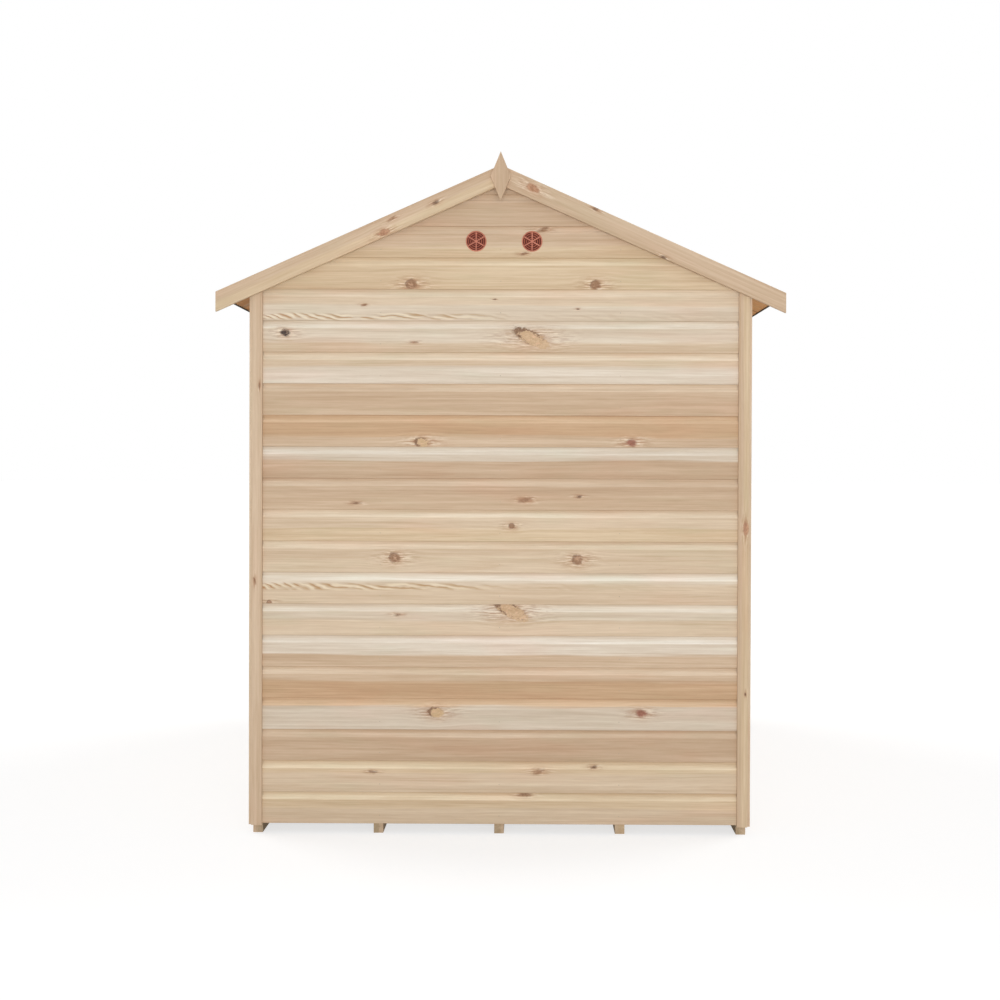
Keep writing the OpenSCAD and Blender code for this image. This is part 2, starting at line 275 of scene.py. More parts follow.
# paints the knot, its rim, and the wisps of darker and paler wood on both sides of it
def paintKnot(start, colour, place, wayX, wayY, radius, kind):
    steps = [number / len(knotKinds) for number in range(len(knotKinds))]
    paints = [(step, one[0]) for step, one in zip(steps, knotKinds.values())]
    forms = [(step, (length / longestKnot, softness, rim, lean + 0.5))
             for step, (_, length, softness, rim, lean) in zip(steps, knotKinds.values())]
    own = start.add("ShaderNodeValToRGB", {"steps": paints}, {"Fac": kind})
    form = start.add("ShaderNodeValToRGB", {"steps": forms}, {"Fac": kind})
    stretch, softness, rim = parts(form)
    stretch = stretch * longestKnot
    ragged = grainNoise(place, (60, 90, 90), 4.0, 0.65) - 0.5
    fine = grainNoise(place, (130, 190, 190), 3.0, 0.65)
    wisps = grainNoise(place, (24, 210, 210), 3.0, 0.6)
    u = wayX / (radius * stretch)
    v = (wayY + wayX * (form.twin("Alpha") - 0.5)) / radius
    far = start.sum("SQRT", u * u + v * v) + ragged * (0.9 + softness * 0.6) + (fine - 0.5) * 0.3
    core = 1.0 - smooth(far, 1.0 - softness, 1.05 + softness * 0.3)
    broken = smooth(ragged * 1.4 + fine - 0.5 - u * 0.25 + v * 0.15, -0.12, 0.22)
    edge = smooth(far, 0.62, 0.90) * (1.0 - smooth(far, 0.98, 1.22)) * rim * broken

    near = bell(wayX / (radius * (stretch * 0.9 + 0.6)), wayY / (radius * 1.5))
    wide = bell(wayX / (radius * (stretch + 2.4)), wayY / (radius * 1.35))
    colour = mixColour(near * 0.42, colour, paint(196, 150, 116))
    colour = mixColour(wide * smooth(wisps, 0.48, 0.60) * 0.80, colour, paint(158, 112, 80))
    colour = mixColour(wide * (1.0 - smooth(wisps, 0.36, 0.46)) * 0.85, colour, paint(244, 230, 208))

    arcs = smooth(start.sum("FRACT", far * 2.3 + fine * 1.2), 0.1, 0.9)
    inner = shaded(smooth(fine, 0.44, 0.58) * (0.75 - rim * 0.5), own, 0.60, 0.53, 0.46)
    inner = mixColour(arcs * rim * 0.65, inner, vectorSum("MULTIPLY", own, (0.80, 0.72, 0.62)))
    inner = mixColour(smooth(ragged, 0.0, 0.14) * (0.2 + rim * 0.3), inner, paint(226, 186, 152))
    colour = mixColour(core * (1.0 - softness * 0.15), colour, inner)
    colour = mixColour(edge * 0.9, colour, paint(112, 78, 54))
    return colour, core, edge


# slanted flames, where growth rings run in and out of the face; they lie flatter along the board
def paintFlames(start, colour, place, along, across, height):
    drift = grainNoise(place, (5.5, 14.0, 0.0), 3.0) - 0.5
    swell = grainNoise(place, (13.0, 20.0, 0.0))
    way = start.sum("MAXIMUM", along + 0.86, 0.0)
    steep = 1.0 - start.sum("EXPONENT", -(way / 0.13))
    turn = start.sum("FRACT", along * 8.0 + steep * 3.6 + across * 54.0 + drift * 3.6)
    beside = (across - height + drift * 0.012) / 0.0120
    band = start.sum("EXPONENT", -(beside * beside * beside * beside))
    gaps = smooth(grainNoise(place, (9.0, 40.0, 0.0)), 0.34, 0.54)
    mask = band * gaps * (1.0 - smooth(along, -0.30, 0.12) * 0.85)
    width = smooth(swell, 0.35, 0.65) * 0.40
    line = smooth(turn, 0.64 - width, 0.82) * (1.0 - smooth(turn, 0.86, 1.0)) * mask
    core = smooth(turn, 0.02, 0.2) * (1.0 - smooth(turn, 0.34, 0.5)) * mask
    colour = mixColour(core * 0.6, colour, paint(240, 226, 198))
    return mixColour(line * 0.92, colour, mixColour(steep, paint(176, 128, 84), paint(178, 142, 98)))


# noises drawn out along the board: scale along it and across it, detail and roughness
drawnOut = {
    "bands": (0.55, 24.0, 3.0, 0.62),       # broad, of paler and darker wood
    "veins": (1.5, 84.0, 3.0, 0.62),
    "mottle": (8.0, 100.0, 4.0, 0.72),
    "threads": (6.0, 230.0, 3.0, 0.65),
    "fibres": (24.0, 1400.0, 2.0, 0.5),
    "clouds": (2.2, 11.0, 2.0, 0.5),        # of redder wood
    "cast": (3.1, 17.0, 2.0, 0.5),          # of greener wood
}


def makePine(name, setting):
    material, start = newMaterial(name)
    grain, figure = attribute(start, "grain"), attribute(start, "figure")
    lowerTone, upperTone = attribute(start, "tone"), attribute(start, "toneTop")
    hasCove, split = lowerTone.twin("Alpha"), upperTone.twin("Alpha")
    seed, flame, shade = parts(figure)
    along, across, depth = parts(grain)
    shift = joined(seed * 3.17, seed * 1.31, seed * 2.23)      # to a part of the noises of its own
    place = vectorSum("ADD", grain, shift)
    chance = start.add("ShaderNodeTexWhiteNoise", {"noise_dimensions": "1D"}, {"W": seed}, "Color")
    chanceA, chanceB, _ = parts(chance)
    wayX, wayY, radius, kind = nearestKnot(start, along, across)

    # the grain wanders a little along the board and passes round the knots
    hill = bell(wayX / (radius * 4.2), wayY / (radius * 2.6))
    bend = hill * radius * wayY / (start.sum("ABSOLUTE", wayY) + radius * 0.4)
    wander = (grainNoise(place, (1.3, 3.0, 3.0)) - 0.5) * 0.014
    level = across - bend + wander
    flow = vectorSum("ADD", joined(along, level, depth), shift)

    # growth rings round a pith behind the face
    sideways = level - (chanceA - 0.5) * 0.16
    inwards = depth - 0.03 - chanceB * 0.08 + (grainNoise(place, (0.5, 0.0, 0.0), 1.0) - 0.5) * 0.04
    ripple = grainNoise(place, (1.6, 14.0, 14.0)) - 0.5
    ringRadius = start.sum("SQRT", sideways * sideways + inwards * inwards)
    ringPhase = (ringRadius + ripple * 0.005) / setting["ring"]
    ringPart = start.sum("FRACT", ringPhase)
    ringChance = start.add("ShaderNodeTexWhiteNoise", {"noise_dimensions": "1D"},
                           {"W": start.sum("FLOOR", ringPhase) + seed * 31.0}, "Value")
    late = smooth(ringPart, 0.4, 0.9) * (1.0 - smooth(ringPart, 0.93, 1.0)) * (0.25 + ringChance * 0.75)

    bands, veins, mottle, threads, fibres, clouds, cast = [
        grainNoise(flow, (long, wide, wide), detail, roughness)
        for long, wide, detail, roughness in drawnOut.values()]
    streak = setting["streak"]

    edge = smooth(across - split + wander + (veins - 0.5) * 0.034, -0.007, 0.007)
    colour = mixColour(edge, lowerTone, upperTone)
    colour = tint(colour, plateau(bands, 0.12), 0.38 * streak)
    colour = tint(colour, plateau(veins, 0.15), 0.34 * streak)
    colour = tint(colour, mottle - 0.5, 1.6 * streak)
    colour = shaded(smooth(clouds, 0.50, 0.72) * 0.8, colour, 1.015, 0.955, 0.945)
    colour = shaded(smooth(cast, 0.52, 0.74) * 0.8, colour, 0.955, 0.985, 0.965)
    colour = shaded(late * setting["late"], colour, 0.74, 0.60, 0.44)
    colour = tint(colour, threads - 0.5, 1.5)
    colour = tint(colour, fibres - 0.5, 0.55)
    colour = paintFlames(start, colour, place, along, across, flame)

    # a shiplap board gets a painted highlight in its cove, which faces up to the light, and painted shade
    # along both joints
    cove = smooth(across, 0.0270, 0.0320) * (1.0 - smooth(across, 0.038, 0.051)) * hasCove
    colour = tint(colour, cove * (0.55 + clouds * 0.5), 2.3)
    paintedJointShade = (smooth(across, 0.0525, 0.0572) + (1.0 - smooth(across, -0.0573, -0.0555))) * hasCove
    colour = shaded(paintedJointShade * 0.7, colour, 0.80, 0.75, 0.70)
    colour, core, rim = paintKnot(start, colour, place, wayX, wayY, radius, kind)

    height = late * 0.00016 + fibres * 0.00006 + threads * 0.00008 - rim * 0.0003 - core * 0.0001
    if setting["saw"]:
        sawMarks = grainNoise(place, (420.0, 5.0, 5.0))
        fuzz = grainNoise(place, (60.0, 700.0, 700.0), 3.0, 0.7)
        colour = shaded(smooth(sawMarks, 0.4, 0.66) * 0.3, colour, 0.80, 0.76, 0.70)
        colour = mixColour(smooth(fuzz, 0.4, 0.7) * 0.14, colour, paint(226, 208, 180))
        height = height + sawMarks * 0.0006 + fuzz * 0.0004
    # painted shade: timbers that lie in shade are darkened and warmed as far as their shade says
    colour = shaded(shade, colour, 0.44, 0.31, 0.20)
    roughness = setting["rough"] + (fibres - 0.5) * 0.14 - core * 0.12 - late * 0.06
    values = {"Base Color": colour, "Roughness": roughness, "IOR": 1.45, "Specular IOR Level": 0.35}
    finishMaterial(start, surface(start, values, height, setting["relief"]))
    return material


pineOf = {name: makePine("pine_" + name, setting) for name, setting in pineSettings.items()}
print("timber finishes made")


noKnot, noFlame = (50.0, 0.0, 0.01, "dash"), -1.0
seeds = random.Random(24)


# how one board looks: its tones below and above the split, its knots as (along, across, radius, kind), the
# height of its flames, how much painted shade darkens it, and whether it is shiplap (painted cove highlight,
# joint shade)
def look(tone, top, split=0.0, knots=(), flame=noFlame, shade=0.0, cove=0.0):
    own = {"tone": (*toneColours[tone][:3], cove), "toneTop": (*toneColours[top][:3], split),
           "figure": (seeds.uniform(1, 90), flame, shade)}
    for label, knot in zip(knotNames, (*knots, noKnot, noKnot, noKnot)):
        own[label] = (*knot[:3], knotPlaces[knot[3]])
    return own


# the tones below and above the split that boards of one delivery have
boardTones = (("oat", "honey"), ("clay", "clay"), ("fawn", "tan"), ("rust", "tan"), ("tan", "pale"),
              ("oat", "milk"), ("oat", "oat"), ("honey", "oat"), ("tan", "tan"), ("clay", "fawn"),
              ("pale", "milk"), ("tan", "honey"), ("milk", "milk"), ("honey", "honey"), ("tan", "clay"),
              ("oat", "blush"))
trimTones = (("oat", "honey"), ("honey", "tan"), ("oat", "oat"), ("tan", "honey"), ("milk", "oat"))
roughTones = (("dusty", "oat"), ("oat", "honey"), ("tan", "tan"), ("oat", "dusty"))
chanceKnots = (("dash", 0.005), ("dash", 0.004), ("spot", 0.006), ("smudge", 0.008), ("branch", 0.014),
               ("branch", 0.010), ("oval", 0.018), ("eye", 0.016), ("red", 0.013), ("dead", 0.009))


# the look of a board of this length and width, left to chance
def chanceLook(length, width, tones=boardTones, knotEvery=1.5, shade=0.0, cove=0.0):
    knots = []
    while len(knots) < 3 and seeds.random() < length / (knotEvery * 3):
        kind, radius = seeds.choice(chanceKnots)
        knots.append((seeds.uniform(-0.46, 0.46) * length, seeds.uniform(-0.36, 0.36) * width,
                      radius * min(1, width / 0.1), kind))
    flame = seeds.uniform(-0.03, 0.01) if seeds.random() < 0.02 else noFlame
    lower, upper = seeds.choice(tones)
    return look(lower, upper, seeds.uniform(-0.2, 0.2) * width, knots, flame, shade, cove)


# writes what the pine finish reads: a place in the grain for each point, and the look of its board
def writeLooks(mesh, grain, boardOf, looks):
    for name in ("grain", "tone", "toneTop", "figure", *knotNames):
        short = name in ("grain", "figure")     # with three numbers a point, and the others with four
        layer = mesh.attributes.new(name, "FLOAT_VECTOR" if short else "FLOAT_COLOR", "POINT")
        values = []
        for place, board in zip(grain, boardOf):
            values.extend(place if name == "grain" else looks[board][name])
        layer.data.foreach_set("vector" if short else "color", values)


# a mesh as a piece on the body root, in one finish, that stands for these CAD nodes
def addPiece(name, mesh, material, nodes):
    piece = bpy.data.objects.new(name, mesh)
    mesh.name = name
    bpy.context.scene.collection.objects.link(piece)
    mesh.materials.clear()
    mesh.materials.append(material)
    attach(piece, "root")
    if nodes:
        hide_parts(*nodes)


def boundsOf(bm):
    low = Vector(min(vert.co[i] for vert in bm.verts) for i in range(3))
    high = Vector(max(vert.co[i] for vert in bm.verts) for i in range(3))
    return low, high


def placeOf(bm):
    low, high = boundsOf(bm)
    return [round(c, 3) for c in low + high]


# the solids of a CAD node, merged and cleaned, each in a bmesh of its own
def cadSolids(node):
    bm = bmesh.new()
    bm.from_mesh(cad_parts[node].data)
    bmesh.ops.remove_doubles(bm, verts=bm.verts, dist=1e-5)
    bmesh.ops.dissolve_limit(bm, angle_limit=0.005, verts=bm.verts, edges=bm.edges)
    seen, solids = set(), []
    for first in bm.verts:
        if first in seen:
            continue
        seen.add(first)
        queue, solid = [first], []
        while queue:
            vert = queue.pop()
            solid.append(vert)
            for edge in vert.link_edges:
                other = edge.other_vert(vert)
                if other not in seen:
                    seen.add(other)
                    queue.append(other)
        one = bmesh.new()
        copies = {vert: one.verts.new(vert.co) for vert in solid}
        for face in dict.fromkeys(face for vert in solid for face in vert.link_faces):
            one.faces.new([copies[vert] for vert in face.verts])
        solids.append(one)
    bm.free()
    return sorted(solids, key=placeOf)


def blockSolid(low, high):
    bm = bmesh.new()
    bmesh.ops.create_cube(bm, size=1.0)
    for vert in bm.verts:
        vert.co = Vector(low[i] if vert.co[i] < 0 else high[i] for i in range(3))
    return bm


# rounds over these edges of a solid
def bevel(bm, edges, width, steps=2):
    bmesh.ops.bevel(bm, geom=edges, offset=width, segments=steps, profile=0.5, affect="EDGES",
                    clamp_overlap=True)


# a closed solid as a mesh with its faces outwards
def solidMesh(bm):
    bmesh.ops.recalc_face_normals(bm, faces=bm.faces)
    if bm.calc_volume(signed=True) < 0:
        bmesh.ops.reverse_faces(bm, faces=bm.faces)
    mesh = bpy.data.meshes.new("part")
    bm.to_mesh(mesh)
    bm.free()
    return mesh


def smoothed(mesh, sharpAngle):
    mesh.shade_smooth()
    mesh.set_sharp_from_angle(angle=math.radians(sharpAngle))
    return mesh


# where a timber's points lie in its grain: along it, across it, and into it from its outer face
def grainPlaces(points, along, face):
    along, face = along.normalized(), face.normalized()
    across = face.cross(along)
    rows = [(p.dot(along), p.dot(across), p.dot(face)) for p in points]
    middle = [(min(r[i] for r in rows) + max(r[i] for r in rows)) / 2 for i in (0, 1)]
    outer = max(r[2] for r in rows)
    return [(r[0] - middle[0], r[1] - middle[1], r[2] - outer) for r in rows]


easeOf = {"planed": 0.0015, "sawn": 0.002}      # how far the edges of timber are rounded over


# one piece out of several timbers, each a solid with its grain's direction, its outer face and its look
def timberPiece(name, timbers, nodes, finish="planed", ease=None):
    points, faces, grain, boardOf, looks = [], [], [], [], []
    for bm, along, face, oneLook in timbers:
        bevel(bm, [edge for edge in bm.edges if edge.calc_face_angle() > 0.35], ease or easeOf[finish])
        bm.verts.index_update()
        start = len(points)
        own = [vert.co.copy() for vert in bm.verts]
        points += own
        faces += [[start + vert.index for vert in polygon.verts] for polygon in bm.faces]
        grain += grainPlaces(own, along, face)
        boardOf += [len(looks)] * len(own)
        looks.append(oneLook)
        bm.free()
    mesh = bpy.data.meshes.new(name)
    mesh.from_pydata(points, [], faces)
    writeLooks(mesh, grain, boardOf, looks)
    addPiece(name, mesh, pineOf[finish], nodes)


# eased and grained timbers in the shape of a CAD node; rule(low, high) gives along, face and look
def timbersFrom(node, slot, rule, finish="planed", ease=None):
    timbers = [(bm, *rule(*boundsOf(bm))) for bm in cadSolids(node)]
    timberPiece(f"{node}_{finish}", timbers, [node], finish, ease)


# a matrix that stands a thing drawn in X (right), Y (up) and Z (out) against a face of the house
def facing(origin, right, up):
    right, up = Vector(right).normalized(), Vector(up).normalized()
    matrix = Matrix((right, up, right.cross(up))).transposed().to_4x4()
    matrix.translation = origin
    return matrix


wallFaces = {
    "rear": facing((0, -halfDepth, 0), xAxis, zAxis),
    "front": facing((0, halfDepth, 0), -xAxis, zAxis),
    "right": facing((halfWidth, 0, 0), yAxis, zAxis),
    "left": facing((-halfWidth, 0, 0), -yAxis, zAxis),
}


# a geometry tree with named sizes; gives the tree and a wire for each size
def newTree(name, sizes):
    tree = bpy.data.node_groups.new(name, "GeometryNodeTree")
    kinds = {float: "NodeSocketFloat", int: "NodeSocketInt"}
    for label, value in sizes.items():
        socket = tree.interface.new_socket(label, in_out="INPUT", socket_type=kinds[type(value)])
        socket.default_value = value
    tree.interface.new_socket("Material", in_out="INPUT", socket_type="NodeSocketMaterial")
    tree.interface.new_socket("Geometry", in_out="OUTPUT", socket_type="NodeSocketGeometry")
    start = Wire(tree).add("NodeGroupInput")
    return tree, {label: start.twin(label) for label in sizes}, start


def realized(geometry):
    return geometry.add("GeometryNodeRealizeInstances", None, {"Geometry": geometry})


def finishTree(start, geometry):
    painted = start.add("GeometryNodeSetMaterial", None,
                        {"Geometry": realized(geometry), "Material": start.twin("Material")})
    start.add("NodeGroupOutput", None, {"Geometry": painted})


# what a tree grows with these sizes, as a plain mesh
def grow(tree, sizes):
    holder = bpy.data.objects.new(tree.name, bpy.data.meshes.new(tree.name))
    bpy.context.scene.collection.objects.link(holder)
    modifier = holder.modifiers.new("nodes", "NODES")
    modifier.node_group = tree
    for item in tree.interface.items_tree:
        if item.in_out == "INPUT" and item.name in sizes:
            modifier[item.identifier] = sizes[item.name]
    graph = bpy.context.evaluated_depsgraph_get()
    mesh = bpy.data.meshes.new_from_object(holder.evaluated_get(graph))
    holder.modifiers.remove(modifier)
    bpy.data.objects.remove(holder)
    return mesh


def movedTo(geometry, place):
    return geometry.add("GeometryNodeSetPosition", None, {"Geometry": geometry, "Position": place})


def welded(geometry, distance):
    return geometry.add("GeometryNodeMergeByDistance", None, {"Geometry": geometry, "Distance": distance})


# a thing on each of some points
def standing(points, thing, **others):
    return points.add("GeometryNodeInstanceOnPoints", None, {"Points": points, "Instance": thing, **others})


# points on one spot, for things that then find their own places
def pointsOf(start, count):
    return start.add("GeometryNodeMeshLine", {"mode": "OFFSET"}, {"Count": count, "Offset": (0, 0, 0)})


# a bar of any outline in Y and Z, from one X to another
def barOf(start, corners, fromX, toX):
    outline = start.add("GeometryNodeMeshCircle", {"fill_type": "NGON"},
                        {"Vertices": len(corners), "Radius": 1.0})
    places = {"Index": start.add("GeometryNodeInputIndex")}
    for number, (y, z) in enumerate(corners):
        places[number + 1] = joined(fromX, y, z)
    outline = movedTo(outline, start.add("GeometryNodeIndexSwitch",
                                         {"data_type": "VECTOR", "items": len(corners)}, places))
    turnedOver = start.add("GeometryNodeFlipFaces", None, {"Mesh": outline})
    swept = start.add("GeometryNodeExtrudeMesh", {"mode": "FACES"},
                      {"Mesh": turnedOver, "Offset": joined(toX - fromX, 0.0, 0.0), "Offset Scale": 1.0,
                       "Individual": False})
    return welded(start.add("GeometryNodeJoinGeometry", None, {"Geometry": [swept, outline]}), 0.00001)


# as many bars as asked for, a step apart in Y, numbered in the attribute "board"
def rowOfBars(start, bar, first, count, firstY, step):
    line = start.add("GeometryNodeMeshLine", {"mode": "OFFSET"},
                     {"Count": count, "Start Location": joined(0.0, firstY + first * step, 0.0),
                      "Offset": joined(0.0, step, 0.0)})
    number = start.add("GeometryNodeInputIndex") + first
    line = start.add("GeometryNodeStoreNamedAttribute", {"data_type": "FLOAT", "domain": "POINT"},
                     {"Geometry": line, "Name": "board", "Value": number})
    return realized(standing(line, bar))


noLimit = 99.0
shiplapSizes = {"Left": -1.0, "Right": 1.0, "Foot": wallFoot, "First course": 0, "Courses": 5,
                "Course height": 0.115, "Thickness": sideHigh.x - sideLow.x, "Cove height": 0.017,
                "Cove depth": 0.0055, "Land": 0.012, "Lap": 0.009, "Lip gap": 0.0004, "Split": 0.017,
                "Top": noLimit, "Ridge height": noLimit, "Rise": rise}


# boards of a wall in X (along) and Y (up), cut off at a top and under the slopes of a roof
def shiplapTree():
    tree, size, start = newTree("shiplap", shiplapSizes)
    course, cove, depth = size["Course height"], size["Cove height"], size["Cove depth"]
    ease, clearance = 0.001, 0.001
    coveFoot = course - size["Land"] - cove
    corners = [(0.0, -ease), (ease * 0.3, ease * -0.3), (ease, 0.0), (size["Split"], 0.0), (coveFoot, 0.0)]
    for part in (0.12, 0.24, 0.37, 0.5, 0.63, 0.76, 0.88, 1.0):
        corners.append((coveFoot + cove * part, -depth * (3 - 2 * part) * part * part))
    tip, lapTop = course + size["Lap"], size["Lap"] + clearance
    back, lip = -size["Thickness"], size["Lip gap"] - depth
    corners += [(tip, -depth), (tip, back), (size["Split"], back), (lapTop, back), (lapTop, lip), (0.0, lip)]
    bar = barOf(start, corners, size["Left"], size["Right"])
    wall = rowOfBars(start, bar, size["First course"], size["Courses"], size["Foot"], course)
    x, y, z = parts(start.add("GeometryNodeInputPosition"))
    height = start.sum("MINIMUM", start.sum("MINIMUM", y, size["Top"]), size["Ridge height"])
    reach = (size["Ridge height"] - height) / size["Rise"]
    place = start.sum("MAXIMUM", start.sum("MINIMUM", x, reach), -reach)
    finishTree(start, welded(movedTo(wall, joined(place, height, z)), 0.00002))
    return tree


plankSizes = {"From": 0.0, "To": 1.0, "Side": -1.0, "Boards": 5, "Board width": 0.1, "Thickness": 0.012,
              "Groove": 0.003, "Gap": 0.0003, "Base": 0.0, "Rise": 0.0, "Slant": 1.0}


# boards side by side in Y, flat or on the two slopes of a roof
def plankingTree():
    tree, size, start = newTree("planking", plankSizes)
    width, groove, gap, thick = size["Board width"], size["Groove"], size["Gap"], size["Thickness"]
    corners = [(gap + groove, 0.0), (gap, groove), (gap, thick), (width - gap, thick), (width - gap, groove),
               (width - gap - groove, 0.0)]
    bar = barOf(start, corners, size["From"], size["To"])
    planks = rowOfBars(start, bar, 0, size["Boards"], size["Side"], width)
    x, y, z = parts(start.add("GeometryNodeInputPosition"))
    height = size["Base"] - start.sum("ABSOLUTE", x) * size["Rise"] + z / size["Slant"]
    finishTree(start, movedTo(planks, joined(x, y, height)))
    return tree


# heads of nails or screws in rows and columns, pointing out along Z
def headsTree():
    tree, size, start = newTree("heads", {
        "Columns": 3, "Column gap": 0.4, "Rows": 20, "Row gap": 0.115, "Radius": 0.002, "Height": 0.0006,
        "Ridge height": noLimit, "Rise": rise})
    columns = size["Columns"]
    index = start.add("GeometryNodeInputIndex")
    row = start.sum("FLOOR", (index + 0.5) / columns)
    x = (index - row * columns - (columns - 1) / 2) * size["Column gap"]
    spots = movedTo(pointsOf(start, columns * size["Rows"]), joined(x, row * size["Row gap"], 0.0))
    x, y, _ = parts(start.add("GeometryNodeInputPosition"))
    over = start.sum("GREATER_THAN", y + start.sum("ABSOLUTE", x) * size["Rise"], size["Ridge height"])
    spots = start.add("GeometryNodeDeleteGeometry", {"domain": "POINT"},
                      {"Geometry": spots, "Selection": over})
    head = start.add("GeometryNodeMeshCone", {"fill_type": "NGON"},
                     {"Vertices": 10, "Radius Top": size["Radius"] * 0.72, "Radius Bottom": size["Radius"],
                      "Depth": size["Height"]})
    finishTree(start, standing(spots, head))
    return tree


# the grille of a round vent: rings a gap apart, and spokes from the hub to the edge
def grilleTree():
    tree, size, start = newTree("grille", {
        "Rings": 4, "First radius": 0.011, "Ring gap": 0.005, "Ring width": 0.0011, "Spokes": 6,
        "Spoke width": 0.003, "Spoke length": 0.033, "Spoke depth": 0.0022})
    number = start.add("GeometryNodeInputIndex")
    hoop = start.add("GeometryNodeMeshCircle", {"fill_type": "NONE"}, {"Vertices": 48, "Radius": 1.0})
    radius = size["First radius"] + number * size["Ring gap"]
    rings = realized(standing(pointsOf(start, size["Rings"]), hoop, Scale=joined(radius, radius, radius)))
    rings = start.add("GeometryNodeMeshToCurve", None, {"Mesh": rings})
    section = start.add("GeometryNodeCurvePrimitiveCircle", None,
                        {"Resolution": 8, "Radius": size["Ring width"]})
    rings = start.add("GeometryNodeCurveToMesh", None, {"Curve": rings, "Profile Curve": section})
    spoke = start.add("GeometryNodeMeshCube", None,
                      {"Size": joined(size["Spoke width"], size["Spoke length"], size["Spoke depth"])})
    spoke = start.add("GeometryNodeTransform", None,
                      {"Geometry": spoke, "Translation": joined(0.0, size["Spoke length"] * 0.5, 0.0)})
    turn = joined(0.0, 0.0, number * math.tau / size["Spokes"])
    spokes = standing(pointsOf(start, size["Spokes"]), spoke, Rotation=turn)
    finishTree(start, start.add("GeometryNodeJoinGeometry", None, {"Geometry": [rings, spokes]}))
    return tree


shiplap, planking, heads, grille = shiplapTree(), plankingTree(), headsTree(), grilleTree()
print("trees grown")


courseHeight = shiplapSizes["Course height"]
courses = math.ceil((ridgeHeight - wallFoot) / courseHeight)
sideCourses = math.ceil((eavesHeight - wallFoot) / courseHeight)

# the rear gable's boards from the ground up: lower tone, upper tone, height of the split between them, height
# of the flames, and knots as (along, above the middle, radius, kind)
rearBoards = [
    ("oat", "honey", 0.000, noFlame, [(0.095, 0.050, 0.008, "dash")]),
    ("oat", "honey", 0.012, noFlame, [(-0.465, 0.017, 0.006, "dash"), (0.146, 0.021, 0.009, "smudge"),
                                      (0.347, 0.037, 0.007, "spot")]),
    ("clay", "clay", 0.0, noFlame, []),
    ("fawn", "rust", 0.028, noFlame, [(-0.231, 0.005, 0.019, "eye"), (0.520, 0.004, 0.015, "red")]),
    ("rust", "tan", 0.006, noFlame, []),
    ("tan", "pale", -0.010, noFlame, []),
    ("oat", "milk", 0.000, noFlame, [(0.045, 0.032, 0.026, "oval"), (-0.374, 0.018, 0.006, "dash")]),
    ("oat", "milk", 0.016, 0.006, [(-0.843, -0.055, 0.010, "branch")]),
    ("oat", "oat", 0.0, noFlame, [(-0.384, -0.004, 0.019, "branch"), (0.285, -0.009, 0.019, "branch")]),
    ("honey", "oat", -0.012, noFlame, [(0.044, -0.001, 0.011, "branch")]),
    ("tan", "clay", 0.0, noFlame, [(-0.525, -0.034, 0.006, "dash"), (0.092, -0.021, 0.009, "smudge"),
                                  (0.289, -0.008, 0.006, "spot")]),
    ("clay", "fawn", 0.004, noFlame, []),
    ("tan", "rust", -0.020, noFlame, [(-0.286, -0.042, 0.018, "eye"), (0.479, -0.041, 0.015, "red")]),
    ("tan", "tan", 0.000, noFlame, []),
    ("pale", "oat", 0.004, noFlame, []),
    ("oat", "milk", -0.020, noFlame, [(-0.787, 0.0135, 0.015, "dead"), (-0.314, -0.021, 0.005, "dash"),
                                      (0.115, -0.006, 0.027, "oval")]),
    ("milk", "oat", 0.0, -0.043, [(-0.022, 0.021, 0.0035, "spot"), (0.282, -0.014, 0.0035, "spot"),
                                  (-0.498, 0.000, 0.0045, "smudge")]),
    ("honey", "honey", 0.0, noFlame, [(-0.326, -0.040, 0.019, "branch"), (0.347, -0.041, 0.018, "branch")]),
    # its second smudge, right under the right vent, is painted shade of the vent
    ("honey", "tan", -0.015, noFlame, [(0.155, 0.047, 0.009, "smudge"), (0.085, -0.043, 0.006, "smudge")]),
    ("clay", "clay", 0.0, noFlame, []),
    ("clay", "clay", 0.0, noFlame, []),
]


# takes the attribute "board" off a grown mesh and gives the number of each point's board
def boardNumbers(mesh):
    layer = mesh.attributes["board"]
    numbers = [0.0] * len(mesh.vertices)
    layer.data.foreach_get("value", numbers)
    mesh.attributes.remove(layer)
    return [round(number) for number in numbers]


# boards of one wall as one piece; holes, as (x, height, radius), go through a single board
def boardWall(name, wall, looks, nodes, first, count, sizes, holes=None):
    mesh = grow(shiplap, dict(sizes, **{"First course": first, "Courses": count}))
    boardOf = boardNumbers(mesh)
    if holes:
        mesh = carved(mesh, cylinders(holes))
        boardOf = [first] * len(mesh.vertices)
    grain = []
    for vert, board in zip(mesh.vertices, boardOf):
        x, y, z = vert.co
        grain.append((x, y - (wallFoot + (board + 0.5) * courseHeight), z))
    writeLooks(mesh, grain, boardOf, looks)
    mesh.transform(wallFaces[wall])
    addPiece(name, mesh, pineOf["planed"], nodes)


# a mesh with the solids of a bmesh taken out of it
def carved(mesh, cut):
    tool = bpy.data.objects.new("tool", bpy.data.meshes.new("tool"))
    cut.to_mesh(tool.data)
    cut.free()
    holder = bpy.data.objects.new("holder", mesh)
    for thing in (tool, holder):
        bpy.context.scene.collection.objects.link(thing)
    modifier = holder.modifiers.new("holes", "BOOLEAN")
    modifier.operation = "DIFFERENCE"
    modifier.solver = "EXACT"
    modifier.use_self = True
    modifier.object = tool
    graph = bpy.context.evaluated_depsgraph_get()
    result = bpy.data.meshes.new_from_object(holder.evaluated_get(graph))
    for thing in (tool, holder):
        bpy.data.objects.remove(thing)
    return result


def cylinders(holes):
    bm = bmesh.new()
    deep = 0.08
    for x, height, radius in holes:
        bmesh.ops.create_cone(bm, cap_ends=True, segments=64, radius1=radius, radius2=radius, depth=deep,
                              matrix=Matrix.Translation((x, height, 0.0)))
    return bm


